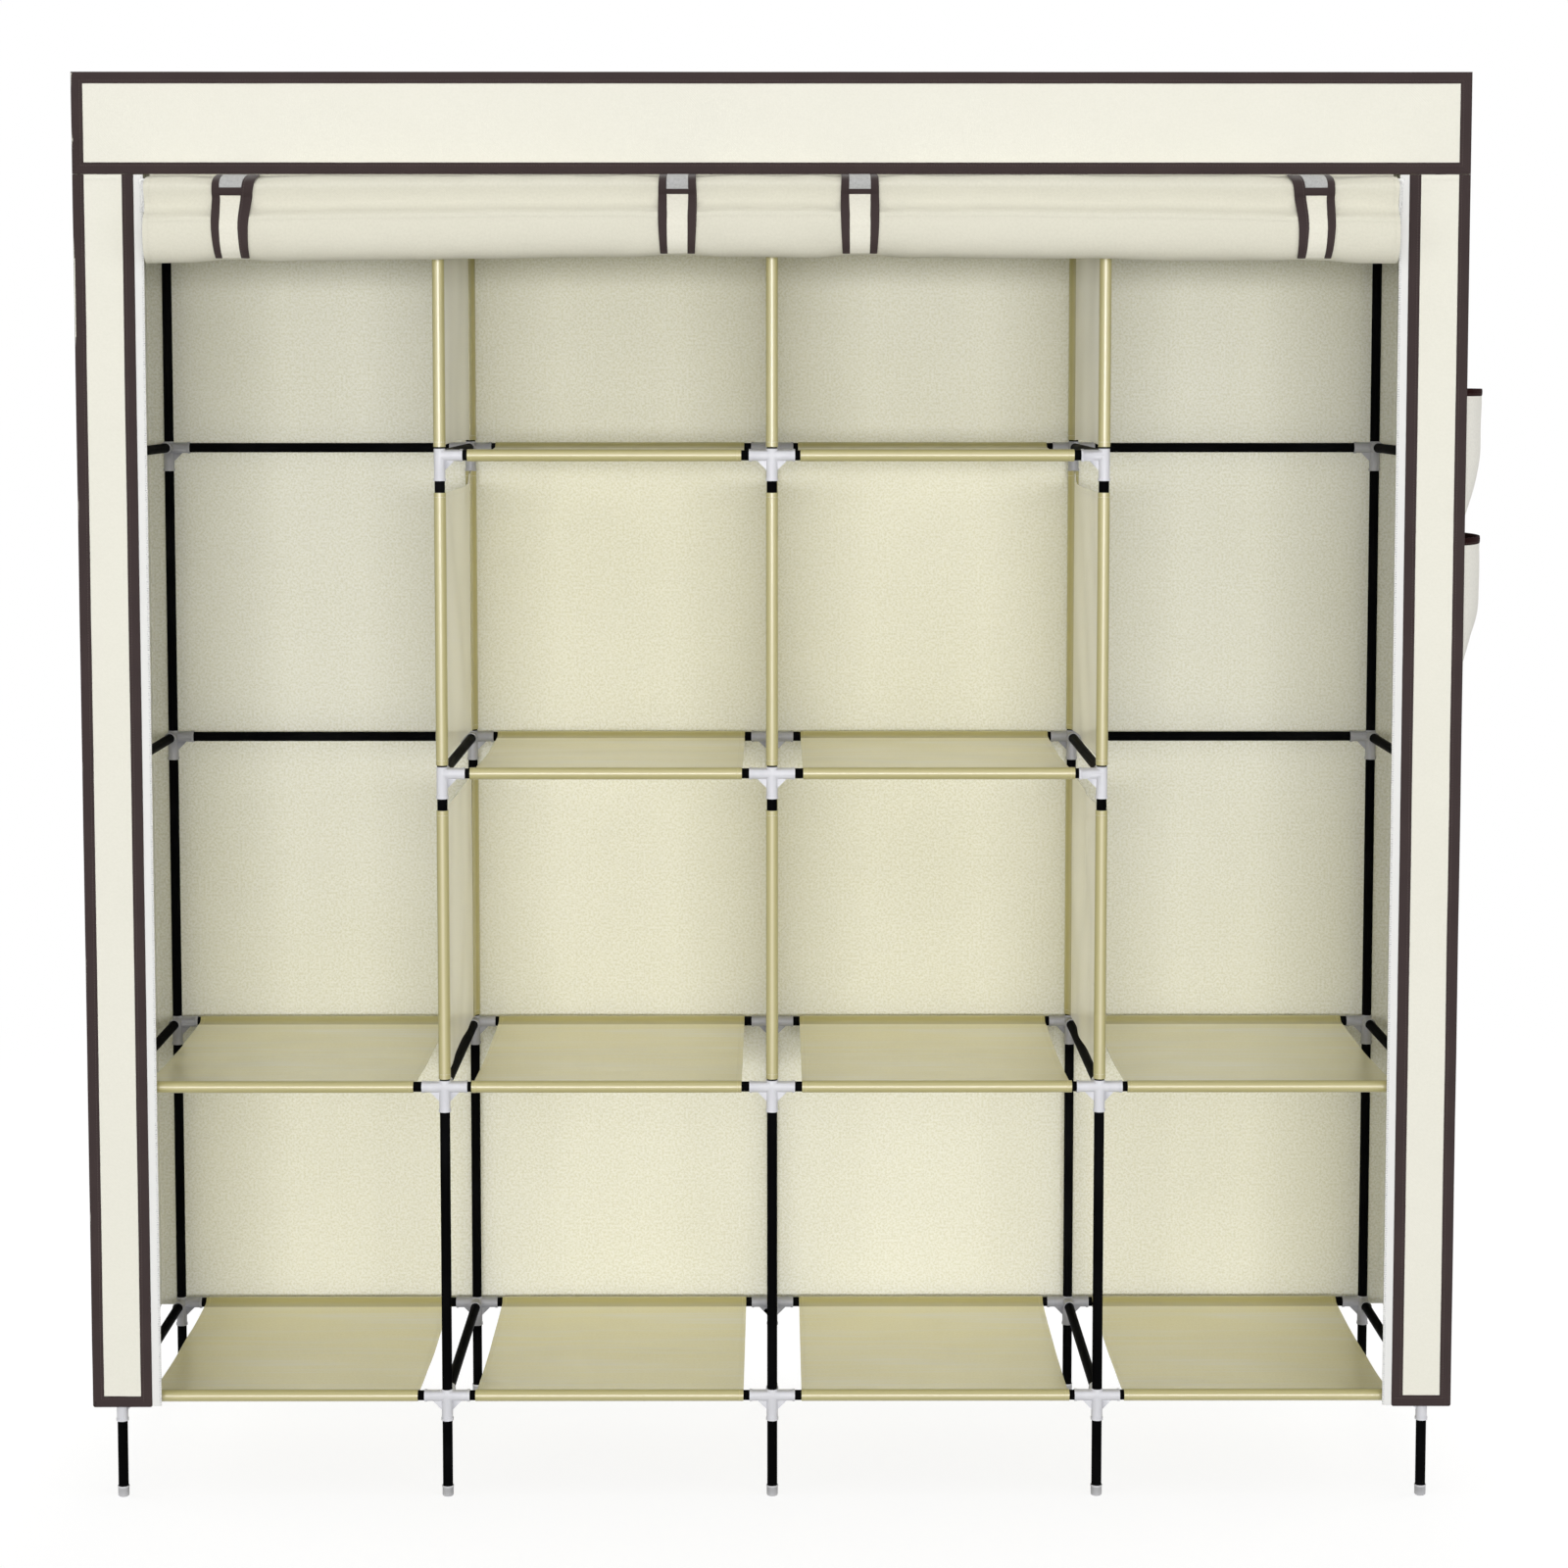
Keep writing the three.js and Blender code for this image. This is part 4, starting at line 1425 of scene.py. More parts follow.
@dataclass
class Cover:
    """The sewn cover: roof, front band, back, sides and front strips with their bindings and zip tapes."""

    plan: Plan
    binding: float = 0.0135
    binding_step: float = 0.04
    proud: float = 0.0006
    zip_cloth: float = 0.0006
    zip_foot: float = 0.0003
    zip_head: float = 0.0012
    zip_wave: float = 0.6
    zip_set_back: float = 0.0002
    tooth: Place = (0.0030, 0.0019, 0.0015)
    tooth_pitch: float = 0.0028
    tooth_round: float = 0.0005
    tooth_inset: float = 0.0012
    tooth_margin: float = 0.002
    corner: float = 0.002
    wave: float = 0.0007
    ripple: float = 0.0003
    seam_gap: float = 0.0004
    roof_set_back: float = 0.0016
    roof_sag: float = 0.0045
    roof_ripple: float = 0.0012
    back_inset: float = 0.0012
    back_fold: float = 0.0016
    back_ripple: float = 0.0008
    side_fold: float = 0.0034

    def build(self) -> None:
        """Build the cover."""
        outside = NonWovenCloth(
            "cream_cover_cloth", (243, 241, 228), (236, 234, 220), speckle=0.35, crease=0.0022
        )
        inside = {"speckle": 0.9, "fleck_scale": 330.0, "crease": 0.002}
        lining = NonWovenCloth("cream_lining_cloth", (253, 252, 240), (231, 229, 206), **inside)
        # The side walls' lining is the same lining cloth painted lighter, standing in for light that barely
        # reaches the side walls inside
        side_lining = NonWovenCloth(
            "cream_side_lining_cloth", (255, 254, 245), (243, 241, 224), satin=1.0, **inside
        )
        self.panel = Cloth(outside.material(), Slot.COVER, self.plan.cloth)
        self.lining, self.side_lining = lining.material(), side_lining.material()
        self.edge = BindingTape().material()
        self.zip_tape = Cloth(ZipTape().material(), Slot.COVER, self.zip_cloth)
        self.teeth_finish = LacqueredMetal("white_zip_teeth").material()
        self.roof()
        self.band()
        self.back()
        for side in (-1, 1):
            self.side(side)
            self.strip(side)
            self.zip(side)

    def front_wave(self, x: Array, z: Array) -> Array:
        """How far the front cloth stands off its plane."""
        return self.wave * soft_noise(x, z, 0.22, 5) + self.ripple * soft_noise(x, z, 0.07, 6)

    def on_front(self, x: Array, z: Array, share: float = 1.0, off: float = 0.0) -> Array:
        """Points on the front's plane, with a share of its waves and a distance behind it."""
        return together(x, self.plan.face + self.front_wave(x, z) * share + off, z)

    def bind(self, name: str, outline: Outline, closed: bool, nodes: Sequence[str]) -> Piece:
        """Sew a binding along an outline of the front, whose inside is on the left.

        Args:
            name: The piece's name.
            outline: The outline's corners in x and z.
            closed: Whether the outline is a ring.
            nodes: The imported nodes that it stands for.

        Returns:
            The binding.
        """
        points = [np.array(p) for p in outline]
        path = []
        for start, end in zip(points, points[1:] + (points[:1] if closed else [])):
            count = max(1, int(np.linalg.norm(end - start) / self.binding_step))
            path += [start + (end - start) * i / count for i in range(count)]
        if not closed:
            path.append(points[-1])
        line = np.array(path)
        before, after = line - np.roll(line, 1, axis=0), np.roll(line, -1, axis=0) - line
        if not closed:
            before[0], after[-1] = after[0], before[-1]
        both = unit(before) + unit(after)
        left = together(-both[:, 1], both[:, 0])
        left /= (np.linalg.norm(left, axis=1, keepdims=True) ** 2) / 2
        w, t = self.binding, self.plan.cloth / 2 + self.proud
        section = [
            (-self.proud, 0.0), (-self.proud, t * 0.6), (0.0004, t), (w * 0.3, t * 1.12), (w * 0.7, t * 1.06),
            (w * 0.84, t * 0.92), (w * 0.95, t), (w, t * 0.7), (w, -t * 0.7), (w * 0.5, -t), (0.0004, -t),
            (-self.proud, -t * 0.6),
        ]
        inward = together(left[:, 0], 0.0, left[:, 1])
        obj = tape(name, self.on_front(line[:, 0], line[:, 1]), inward, np.array(FRONT), section, closed)
        return dress(obj, self.edge, nodes=nodes)

    def roof(self) -> None:
        """Lay the roof over the frame, sagging a little in each bay."""
        plan = self.plan
        depths = np.linspace(plan.cover_front + self.roof_set_back, plan.cover_rear, 26)
        x, y = lattice(np.linspace(plan.left, plan.right, 86), depths)
        bay = (x - plan.columns[0]) / (plan.columns[1] - plan.columns[0])
        across = np.where((bay > 0) & (bay < 4), np.abs(np.sin(np.pi * bay)), 0.0)
        deep = np.sin(np.pi * plan.between_posts(y))
        z = plan.roof_top - plan.cloth / 2 - self.roof_sag * across * deep**0.7
        z = z + self.roof_ripple * across * deep * soft_noise(x, y, 0.12, 8)
        obj = self.panel.cut("cloth_roof", together(x, y, z), ["cover_roof"])
        line_side(obj, self.lining, DOWN)
        plan.depth

    def band(self) -> None:
        """Hang the front band with its binding all round."""
        plan = self.plan
        heights = np.linspace(plan.band_foot, plan.wall_top, 12)
        grid = lattice(np.linspace(plan.left, plan.right, 120), heights)
        obj = self.panel.cut("cloth_front_band", self.on_front(*grid), ["cover_roof"])
        low, high = plan.band_foot, plan.roof_top
        corners = [(plan.left, low), (plan.right, low), (plan.right, high), (plan.left, high)]
        edge = self.bind("binding_front_band", corners, True, ["cover_roof"])

    def back(self) -> None:
        """Hang the back panel."""
        plan = self.plan
        x, z = lattice(np.linspace(plan.left, plan.right, 110), np.linspace(plan.hem, plan.wall_top, 96))
        loose = np.sin(np.pi * (x - plan.left) / plan.width) ** 0.3 * smoothstep(plan.roof_top - z, 0.0, 0.12)
        folds = self.back_fold * soft_noise(x, z * 0.35, 0.16, 11)
        folds = folds + self.back_ripple * soft_noise(x, z, 0.08, 12)
        y = plan.cover_rear - plan.cloth / 2 - self.back_inset + loose * folds
        obj = self.panel.cut("cloth_back", together(x, y, z), ["cover_back"])
        line_side(obj, self.lining, FRONT)

    def side(self, side: int) -> None:
        """Hang one side panel, the left one for -1 and the right one for 1."""
        plan, title = self.plan, side_title(side)
        ys = np.linspace(plan.cover_front, plan.cover_rear - plan.cloth, 34)[::-side]
        y, z = lattice(ys, np.linspace(plan.hem, plan.wall_top, 96))
        share = np.clip((y - plan.cover_front) / plan.depth, 0, 1)
        loose = np.sin(np.pi * share) ** 0.5 * smoothstep(plan.roof_top - z, 0.0, 0.1)
        folds = 0.5 + 0.5 * soft_noise(y, z * 0.4, 0.15, 21 + side)
        x = plan.edge(side) - side * plan.cloth / 2 - side * loose * self.side_fold * folds
        obj = self.panel.cut(f"cloth_side_{title}", together(x, y, z), [f"cover_side_{title}"])
        # The wall's inside takes the lining painted lighter: painted light
        line_side(obj, self.side_lining, Vector((-side, 0, 0)))
        plan.depth

    def strip(self, side: int) -> None:
        """Hang one front strip with its binding, the left one for -1 and the right one for 1."""
        plan, title = self.plan, side_title(side)
        left, right = sorted((plan.edge(side), plan.opening(side)))
        head = plan.band_foot - self.proud - self.seam_gap
        grid = lattice(np.linspace(left, right, 10), np.linspace(plan.hem, head, 90))
        obj = self.panel.cut(f"cloth_strip_{title}", self.on_front(*grid), [f"cover_side_{title}"])
        r, low = self.corner, plan.hem + self.corner
        turn = np.linspace(0, math.pi / 2, 5)
        outline = [(left, head)]
        outline += [(left + r - r * math.cos(a), low - r * math.sin(a)) for a in turn]
        outline += [(right - r + r * math.sin(a), low - r * math.cos(a)) for a in turn]
        edge = self.bind(f"binding_strip_{title}", [*outline, (right, head)], False, [f"cover_side_{title}"])
        right - left

    def zip(self, side: int) -> None:
        """Sew a zip tape with its teeth behind a strip's inner binding, the left one for -1."""
        plan, title, inner = self.plan, side_title(side), self.plan.opening(side)
        start, end = sorted((inner + side * self.binding / 2, inner - side * plan.tape))
        foot, head = plan.hem + self.zip_foot, plan.band_foot - self.zip_head
        grid = lattice(np.linspace(start, end, 6), np.linspace(foot, head, 100))
        points = self.on_front(*grid, self.zip_wave, self.zip_set_back)
        obj = self.zip_tape.cut(f"zip_tape_{title}", points, [f"cover_side_{title}"])
        end - start
        place, margin = inner - side * (plan.tape - self.tooth_inset), self.tooth_margin
        teeth = self.teeth(f"zip_teeth_{title}", place, foot + margin, head - margin)
        dress(teeth, self.teeth_finish)

    def teeth(self, name: str, x: float, foot: float, head: float) -> Piece:
        """Model one zip tooth and repeat it up the tape as one piece.

        Args:
            name: The piece's name.
            x: Where the teeth stand.
            foot: The lowest tooth's height.
            head: The highest tooth's height.

        Returns:
            The row of teeth.
        """
        tooth = cube("tooth", (x, 0, 0), self.tooth)
        with editing(tooth):
            end_faces(tooth, FRONT)
            bpy.ops.mesh.bevel(offset=self.tooth_round, segments=1, affect="EDGES")
        corners = np.array([v.co for v in tooth.data.vertices])
        faces = [list(p.vertices) for p in tooth.data.polygons]
        discard(tooth)
        points, sides = [], []
        for i, z in enumerate(np.arange(foot, head, self.tooth_pitch)):
            lift = float(self.front_wave(np.array(x), np.array(z))) * self.zip_wave
            points.append(corners + np.array([0.0, self.plan.face + lift, z]))
            sides += [[v + i * len(corners) for v in face] for face in faces]
        return new_mesh(name, np.concatenate(points), sides)


# Door


@dataclass
class RolledDoor:
    """The front door, rolled up below its header and held by four straps."""

    plan: Plan
    half: float = 0.757
    centre_y: float = -0.219654
    centre_z: float = 1.5852
    depth: float = 0.060
    height: float = 0.067
    droop: float = 0.008
    pinch: float = 0.08
    step: float = 0.04
    turns: float = 9.5
    cloth: float = 0.0007
    strap_width: float = 0.0405
    strap_cloth: float = 0.0009
    patch_cloth: float = 0.0010
    band_cloth: float = 0.0012
    squareness: float = 0.86
    fade: float = 0.045
    strap_reach: float = 0.850
    strap_shares: tuple[float, ...] = (-0.766, -0.134, 0.125, 0.771)
    strap_rise: float = 0.0017
    strap_gap: float = 0.0002
    strap_seam: tuple[float, float] = (0.0012, 0.0015)
    strap_rows: tuple[int, ...] = (72, 96, 120, 146)
    strap_angles: tuple[int, ...] = (18, 0, -20, -40, -60)
    strap_heel: float = 0.0038
    heel_rise: float = 0.022
    heel_length: float = 0.122
    strap_toe: float = 0.0095
    toe_length: float = 0.075
    crowding: float = 2.2
    crowd_reach: float = 0.055
    wave: float = 0.0009
    tuck: float = 0.0013
    tuck_place: float = 0.042
    tuck_width: float = 0.020
    flare: float = 0.010
    header_wave: float = 0.0012
    header_pinch: float = 0.0030
    drop: float = 1.50
    meeting: float = 36.0
    header: Outline = (
        (-0.1991, 1.6587), (-0.1991, 1.6516), (-0.2240, 1.6494), (-0.2394, 1.6412), (-0.2352, 1.6276),
        (-0.2340, 1.6168),
    )
    edge_start: float = 0.006
    edge_cover: float = 0.98
    patch_start: float = 0.009
    patch_depth: float = 0.0185
    patch_lift: float = 0.0010
    band_depths: tuple[float, float] = (0.0165, 0.0262)
    band_lap: float = 0.0006
    band_lift: float = 0.0012
    edge_width: float = 0.012
    edge_depths: tuple[float, ...] = (0.0, 0.05, 0.10)
    edge_widths: tuple[tuple[float, ...], ...] = ((0.0088, 0.0100, 0.0080), (0.0146, 0.0128, 0.0098))
    edge_section: Outline = (
        (-0.0005, 0.0), (-0.0005, 0.0007), (0.0004, 0.0011), (0.0036, 0.00125), (0.0084, 0.00122),
        (0.0100, 0.00105), (0.0112, 0.00115), (0.012, 0.0008), (0.012, -0.0007), (0.0004, -0.0009),
    )

    def build(self) -> None:
        """Build the roll, the header and the straps."""
        finish = NonWovenCloth(
            "cream_door_cloth",
            (230, 227, 210),
            (219, 216, 198),
            speckle=0.4,
            crease=0.0035,
            crease_length=0.12,
        )
        self.sheet = Cloth(finish.material(), Slot.DOOR, self.cloth)
        self.straps = [self.plan.middle + share * self.strap_reach for share in self.strap_shares]
        self.roll()
        self.header_cloth()
        edge = BindingTape("dark_strap_binding").material()
        web = NonWovenCloth(
            "cream_strap_cloth", (240, 237, 222), (224, 221, 203), speckle=0.35, stitched=False
        )
        self.web = Cloth(web.material(), Slot.STRAP, self.strap_cloth)
        self.patch = Cloth(LoopPatch().material(), Slot.STRAP, self.patch_cloth)
        self.cross = Cloth(edge, Slot.STRAP, self.band_cloth)
        for number, x in enumerate(self.straps, 1):
            self.strap(number, x)

    def hang(self, x: Array | float) -> Array:
        """How far the door hangs lower at x than in its middle."""
        return self.droop * ((x - self.plan.middle) / self.half) ** 2

    def drawn(self, x: Array) -> Array:
        """How much the straps draw the roll in: 1 under a strap, fading beside it."""
        beside = [np.abs(x - place) - self.strap_width / 2 for place in self.straps]
        return np.max([1 - smoothstep(gap, 0.0, self.fade) for gap in beside], axis=0)

    def stations(self) -> Array:
        """Where along the door its mesh has columns, closer together beside the straps."""
        fine = np.linspace(self.plan.middle - self.half, self.plan.middle + self.half, 4000)
        near = [np.exp(-((fine - place) / self.crowd_reach) ** 2) for place in self.straps]
        pace = 1.0 + self.crowding * np.sum(near, axis=0)
        run = summed((pace[1:] + pace[:-1]) / 2)
        return np.interp(np.linspace(0, run[-1], 104), run, fine)

    def around(self, angle: Array | float, size: Array | float, rise: Array | float) -> list:
        """How far ahead and up the roll's squarish section reaches, at a size of 1 and a rise above it."""
        reaches = ((np.cos(angle), self.depth), (np.sin(angle), self.height))
        return [np.sign(c) * np.abs(c) ** self.squareness * (size * full / 2 + rise) for c, full in reaches]

    def on_roll(self, x: Array, turn: Array) -> Array:
        """Points of the rolled cloth.

        Args:
            x: The place along the door.
            turn: How many turns in from where the header meets the roll.

        Returns:
            The points.
        """
        angle = math.radians(self.meeting) - 2 * math.pi * turn
        drawn = self.drawn(x)
        nearest = np.min([np.abs(x - place) for place in self.straps], axis=0)
        waves = self.wave * soft_noise(x, 0.03 * np.cos(angle), 0.13, 31) * (1 - 0.6 * drawn)
        near = np.exp(-(((nearest - self.tuck_place) / self.tuck_width) ** 2))
        tucks = self.tuck * near * np.sin(3 * angle + 9 * x)
        swell = (waves + tucks) * np.clip(1 - turn / 3, 0.3, 1)
        ahead, up = self.around(angle, (1 - self.pinch * drawn) * (1 - self.step * turn), swell)
        return together(x, self.centre_y - ahead, self.centre_z - self.hang(x) + up)

    def roll(self) -> None:
        """Roll the door up as one long sheet."""
        grid = lattice(self.stations(), np.linspace(0.0, self.turns, int(self.turns * 24) + 1))
        obj = self.sheet.cut("rolled_door_cloth", self.on_roll(*grid), ["door_roll"], Body.DOOR)
        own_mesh(obj)

    def header_cloth(self) -> None:
        """Hang the header from the seam inside the band, out and down into the roll's outer layer."""
        xs, shares = self.stations(), np.linspace(0, 1, 30)
        line = self.header_line(shares)
        normal = outward(line)
        x, share = lattice(xs, shares)
        x += (x - self.plan.middle) * self.flare * (1 - smoothstep(share, 0.01, 0.10))
        wave, drawn = soft_noise(x, share * 0.04, 0.10, 41), self.drawn(x)
        lift = (1 - drawn) * self.header_wave * wave - self.header_pinch * drawn
        lift = np.sin(np.pi * share) * lift
        y = line[:, 0] + lift * normal[:, 0]
        z = line[:, 1] - self.hang(x) * share + lift * normal[:, 1]
        meeting = self.on_roll(xs, np.zeros_like(xs))
        ease = smoothstep(share, 0.45, 1.0)
        y += ease * (meeting[:, 1] - y[:, -1])[:, None]
        z += ease * (meeting[:, 2] - z[:, -1])[:, None]
        obj = self.sheet.cut("door_header_cloth", together(x, y, z), ["door_header"], body=None)
        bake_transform(obj)

    def header_line(self, shares: Array) -> Array:
        """Points of the header's middle line in y and z, down to the roll."""
        ahead, up = self.around(math.radians(self.meeting), 1.0, 0.0)
        return spline([*self.header, (self.centre_y - ahead, self.centre_z + up)], shares)

    def strap_line(self, x: float) -> Array:
        """Points of a strap's middle line in y and z, evenly spread from its seam to its loose end."""
        shares = np.linspace(0, 1, 201)
        line = self.header_line(shares)
        raised = line + self.strap_gap * outward(line)
        hang = float(self.hang(x))
        over = [(raised[i, 0], raised[i, 1] - hang * shares[i]) for i in self.strap_rows]
        wrap = []
        for degrees in self.strap_angles:
            size = (1 - self.pinch) * (1 - self.step * (self.meeting - degrees) / 360)
            ahead, up = self.around(math.radians(degrees), size, self.strap_rise)
            wrap.append((self.centre_y - ahead, self.centre_z - hang + up))
        behind, below = self.strap_seam
        seam = (self.plan.cover_front - behind, self.plan.band_foot - below)
        dense = spline([seam, *over, *wrap], np.linspace(0, 1, 400))
        run = run_along(dense)
        even = np.linspace(0, run[-1], 60)
        return together(*(np.interp(even, run, dense[:, i]) for i in (0, 1)))

    def strap(self, number: int, x: float) -> None:
        """Sew one strap: a cream web, dark edges, a dark cross band and a loop patch.

        Args:
            number: The strap's number, from the left.
            x: Its place.
        """
        line = self.strap_line(x)
        normal, run, depth = outward(line), run_along(line), line[0, 1] - line[:, 1]
        share = np.clip((depth + self.heel_rise) / self.heel_length, 0, 1)
        heel = self.strap_heel * np.sin(np.pi * share)
        toe = self.strap_toe * np.clip(1 - depth / self.toe_length, 0, 1) ** 2
        slim, wide = (np.interp(depth, self.edge_depths, widths) for widths in self.edge_widths)
        swells = {1: (heel, toe), 4: (toe, heel)}.get(number, (0.7 * heel, 0.7 * heel))
        widths = {1: (slim, wide), 4: (wide, slim)}.get(number, (1.05 * slim, 1.05 * slim))
        left, right = -self.strap_width / 2 - swells[0], self.strap_width / 2 + swells[1]
        body = Body(f"door_strap_{number}")

        def across(low: Array, high: Array, rows: Array, lift: float, columns: int) -> Array:
            """A grid across the strap between two edges, lifted off its middle line."""
            place = np.linspace(0, 1, columns)[:, None]
            raised = line[rows] + lift * normal[rows]
            return together(x + low[rows] + (high - low)[rows] * place, raised[:, 0], raised[:, 1])

        everywhere = np.arange(len(line))
        points = across(left, right, everywhere, 0.0, 9)
        web = self.web.cut(f"strap_web_{number}", points, [f"strap_{number}"], body)
        trims = []
        free = everywhere[np.searchsorted(run, self.edge_start) :]
        for title, edge, width, way in (("left", left, widths[0], 1.0), ("right", right, widths[1], -1.0)):
            track = together(x + edge, line[:, 0], line[:, 1])
            inward = together(way * width / self.edge_width, 0.0, 0.0)
            facing = together(0.0, normal[:, 0], normal[:, 1])
            name = f"strap_edge_{number}_{title}"
            obj = tape(name, track[free], inward[free], facing[free], self.edge_section)
            trims.append(dress(obj, self.cross.finish, body))
        inner, outer = left + widths[0] * self.edge_cover, right - widths[1] * self.edge_cover
        rows = np.flatnonzero((run > self.patch_start) & (depth < self.patch_depth))
        points = across(inner, outer, rows, self.patch_lift, 6)
        trims.append(self.patch.cut(f"strap_patch_{number}", points, body=body))
        rows = np.flatnonzero((depth > self.band_depths[0]) & (depth < self.band_depths[1]))
        points = across(inner - self.band_lap, outer + self.band_lap, rows, self.band_lift, 6)
        trims.append(self.cross.cut(f"strap_band_{number}", points, body=body))
        flat = (float((right - left).mean()), float(run[-1]))
        for piece in (web, *trims):
            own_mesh(piece)


# Zip sliders


@dataclass
class ZipSliders:
    """A lacquered slider with a hanging pull on each zip."""

    plan: Plan
    width: float = 0.010
    tall: float = 0.013
    thick: float = 0.004
    top_gap: float = 0.006
    pull_width: float = 0.006
    pull_length: float = 0.028
    taper: float = 0.62
    pull_taper: float = 0.6
    behind: float = 0.0006

    def build(self) -> None:
        """Model one slider and copy it to both zips."""
        finish = LacqueredMetal().material()
        template = self.slider()
        for side, body in ((-1, Body.LEFT_ZIP), (1, Body.RIGHT_ZIP)):
            title, x = side_title(side), self.plan.opening(side) - side * self.plan.tape
            piece = copy_of(template, f"lacquered_slider_{title}", Matrix.Translation((x, 0, 0)))
            dress(piece, finish, body, [f"zip_slider_{title}"])
        discard(template)

    def slider(self) -> Piece:
        """Model the slider's wedge-shaped body, its bridge and its pull."""
        back = self.plan.face - self.behind
        front = back - self.thick
        head = self.plan.band_foot - self.top_gap
        foot = head - self.tall
        body = block("slider", (-self.width / 2, front, foot), (self.width / 2, back, head))
        with editing(body):
            resize((self.taper, 1, 1), end_faces(body, DOWN))
            self.hollow(body, 0.0012, 0.0005)
        low, high = (-0.0013, front - 0.0026, foot + 0.0022), (0.0013, front + 0.001, head - 0.0025)
        bridge = block("bridge", low, high)
        low = (-self.pull_width / 2, front - 0.0030, foot - self.pull_length)
        pull = block("pull", low, (self.pull_width / 2, front - 0.0015, foot + 0.009))
        with editing(pull):
            resize((self.pull_taper, 1, 1), end_faces(pull, UP))
            self.hollow(pull, 0.0011, 0.0004)
        union(body, [bridge, pull])
        return ease_edges(body, 0.0003, 0.6)

    @staticmethod
    def hollow(obj: Piece, rim: float, depth: float) -> None:
        """Sink the front face of an object in edit mode inside a rim."""
        end_faces(obj, FRONT)
        inset(rim)
        extrude(Vector((0, depth, 0)))


# Pockets


@dataclass
class SidePockets:
    """Two rows of bellied pockets on the right side, with dark hems at their mouths."""

    plan: Plan
    length: float = 0.400
    tall: float = 0.182
    reach: float = 0.040
    top: float = 1.392
    gap: float = 0.002
    cloth: float = 0.001
    hem: float = 0.0085
    crumple: float = 0.0016
    stand_off: float = 0.0003
    foot_seam: float = 0.02

    def build(self) -> None:
        """Build both rows."""
        finish = NonWovenCloth(
            "pale_pocket_cloth", (233, 231, 222), (216, 214, 204), speckle=0.4, crease=0.002
        )
        self.sheet = Cloth(finish.material(), Slot.COVER, self.cloth * 0.9)
        self.edge = BindingTape(
            "dark_pocket_hem", (30, 12, 12), (44, 24, 24), self.hem, specular=0.02, fuzz=0.0
        ).material()
        for row, title in enumerate(("upper", "lower")):
            self.row(title, self.top - (row + 1) * self.tall - row * self.gap, 51 + row)

    def surface(self, share: Array, rise: Array, foot: float, seed: int) -> Array:
        """Points of a pocket row.

        Args:
            share: How far along the row, from 0 to 1.
            rise: How far up it, from 0 to 1.
            foot: The height of its foot.
            seed: Chooses its creases.

        Returns:
            The points.
        """
        across = np.abs(np.sin(2 * np.pi * share)) ** 0.6
        up = np.sin(np.pi / 2 * np.clip(rise / 0.6, 0, 1)) ** 0.85
        y = self.plan.halfway - self.length / 2 + self.length * share
        z = foot + self.tall * rise
        crumple = self.crumple * across * up * (1 - rise**4) * soft_noise(y, z, 0.07, seed)
        wall = self.plan.right + self.stand_off + self.cloth
        return together(wall + self.reach * across * up + crumple, y, z)

    def row(self, title: str, foot: float, seed: int) -> None:
        """Sew one row of two pockets.

        Args:
            title: The row's name.
            foot: The height of its foot.
            seed: Chooses its creases.
        """
        spread = np.linspace(0, 1, 97)
        points = self.surface(*lattice(spread, np.linspace(0, 1, 40)), foot, seed)
        obj = self.sheet.cut(f"cloth_{title}_pockets", points, [f"{title}_pockets"])
        mouth = self.surface(spread, np.ones_like(spread), foot, seed)
        along = unit(np.gradient(mouth, axis=0))
        facing = together(along[:, 1], -along[:, 0], 0.0)
        section = [
            (-0.0005, 0.0), (-0.0003, 0.0009), (0.0025, 0.0013), (0.0062, 0.0012), (0.0072, 0.0010),
            (self.hem, 0.0007), (self.hem, -0.0007), (0.0004, -0.0010),
        ]
        hem = tape(f"hem_{title}_pockets", mouth, np.array(DOWN), facing, section)
        dress(hem, self.edge)


# Studio


@dataclass(frozen=True)
class Lamp:
    """A soft, flat lamp that the camera doesn't see, with its width and height and its power in watts."""

    name: str
    place: Place
    target: Place
    size: tuple[float, float]
    power: float

    def hang(self) -> None:
        """Put the lamp in its place."""
        data = bpy.data.lights.new(self.name, "AREA")
        data.shape, data.energy = "RECTANGLE", self.power
        data.size, data.size_y = self.size
        lamp = link_new(self.name, data)
        lamp.location = self.place
        lamp.rotation_euler = (Vector(self.target) - Vector(self.place)).to_track_quat("-Z", "Y").to_euler()
        lamp.visible_camera = False


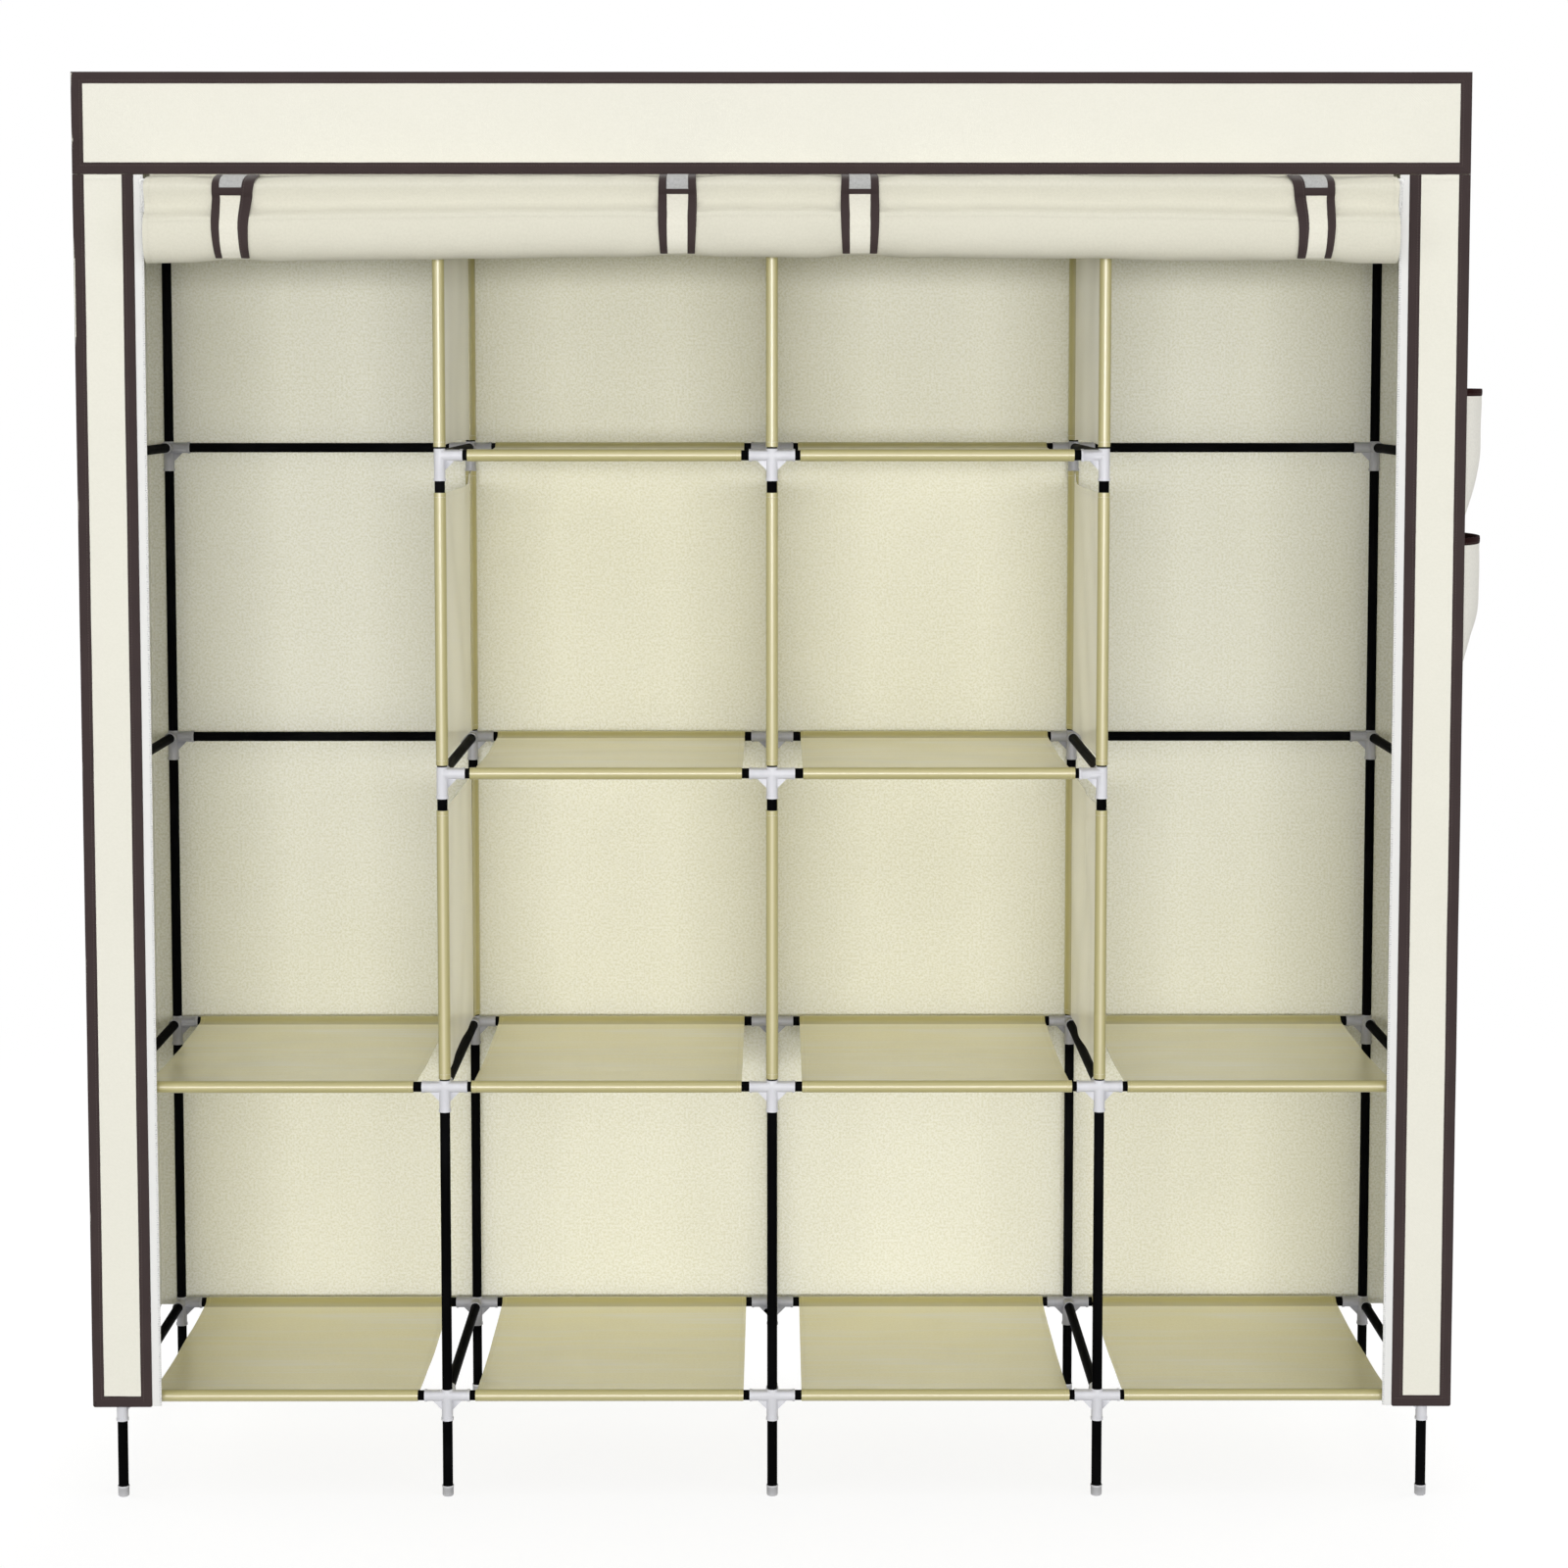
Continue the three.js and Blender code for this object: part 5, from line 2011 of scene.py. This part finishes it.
@dataclass
class Studio:
    """The camera, the pale floor, the lamps and the white surroundings."""

    eye: Place = (-0.0206, -4.168, 1.4126)
    pitch: float = 4.50
    yaw: float = 0.17
    lens: float = 74.3
    shift: float = -0.10
    floor_size: float = 60.0
    surround: float = 0.26
    lamps: tuple[Lamp, ...] = (
        Lamp("front_lamp", (0.0, -12.0, 1.45), (0.0, 0.0, 0.9), (7.0, 1.5), 755.0),
        Lamp("front_left_lamp", (-6.0, -6.0, 1.8), (0.0, 0.0, 0.8), (4.0, 2.4), 68.0),
        Lamp("front_right_lamp", (6.0, -6.0, 1.8), (0.0, 0.0, 0.8), (4.0, 2.4), 68.0),
        Lamp("top_lamp", (0.0, -0.6, 4.6), (0.0, 0.0, 1.0), (3.0, 3.0), 28.0),
        Lamp("left_lamp", (-4.2, 0.5, 2.0), (0.0, 0.0, 0.9), (2.6, 2.6), 42.0),
        Lamp("right_lamp", (4.2, 0.5, 2.0), (0.0, 0.0, 0.9), (2.6, 2.6), 42.0),
        Lamp("rear_lamp", (0.4, 4.8, 2.2), (0.0, 0.0, 0.9), (3.0, 3.0), 88.0),
    )

    def camera(self) -> None:
        """Place the camera at the photograph's viewpoint."""
        data = bpy.data.cameras.new("camera")
        data.sensor_width, data.lens, data.shift_y = 36.0, self.lens, self.shift
        data.clip_start, data.clip_end = 0.05, 200.0
        camera = link_new("camera", data)
        camera.location = self.eye
        camera.rotation_euler = (math.radians(90 - self.pitch), 0.0, math.radians(-self.yaw))
        bpy.context.scene.camera = camera

    def build(self) -> None:
        """Lay the floor, hang the lamps and set the surroundings."""
        bpy.context.scene.view_settings.view_transform = "Standard"
        self.world()
        self.floor()
        for lamp in self.lamps:
            lamp.hang()

    def world(self) -> None:
        """Set even surroundings that look white and light the object gently."""
        world = bpy.data.worlds.new("surroundings")
        world.use_nodes = True
        graph = Graph(world.node_tree)
        strength = graph.seen() * (1.0 - self.surround) + self.surround
        graph.feed(world.node_tree.nodes["Background"], {"Color": (1.0, 1.0, 1.0, 1.0), "Strength": strength})
        bpy.context.scene.world = world

    def floor(self) -> None:
        """Lay a plain pale floor that keeps the object's shadow and fades to white far away."""
        deselect_everything()
        bpy.ops.mesh.primitive_grid_add(x_subdivisions=8, y_subdivisions=8, size=self.floor_size)
        floor = settle(bpy.context.object, "studio_floor")
        s = Shader("pale_floor")
        place = s.space()
        away = s.node("ShaderNodeVectorMath", {0: place}, "Value", operation="LENGTH")
        near = s.step(away, 1.2, 3.2, 1.0, 0.0)
        shaded = s.blend(near, (0, 0, 0, 1), (0.24, 0.24, 0.24, 1))
        matt = s.node("ShaderNodeBsdfDiffuse", {"Color": shaded})
        glow = s.node("ShaderNodeEmission", {"Color": (1, 1, 1, 1), "Strength": near * -0.15 + 1.0})
        both = s.node("ShaderNodeAddShader", {0: matt, 1: glow})
        grained = s.blend(s.noise(place, 60.0, 3.0), (0.43, 0.43, 0.425, 1), (0.47, 0.47, 0.465, 1))
        paper = s.node("ShaderNodeBsdfDiffuse", {"Color": grained})
        s.feed(s.output, {"Surface": s.node("ShaderNodeMixShader", {0: s.seen(), 1: paper, 2: both})})
        s.tree.nodes.remove(s.surface)
        floor.data.materials.append(s.material)


def main() -> None:
    """Build the wardrobe and its studio in order."""
    logging.basicConfig(level=logging.INFO, format="%(message)s", stream=sys.stdout)
    studio = Studio()
    studio.camera()
    plan = Plan.of_model()
    for kind in (TubeFrame, Shelves, Partitions, Cover, RolledDoor, ZipSliders, SidePockets):
        log.info("building %s", kind.__name__)
        kind(plan).build()
    studio.build()


if __name__ == "__main__":
    main()
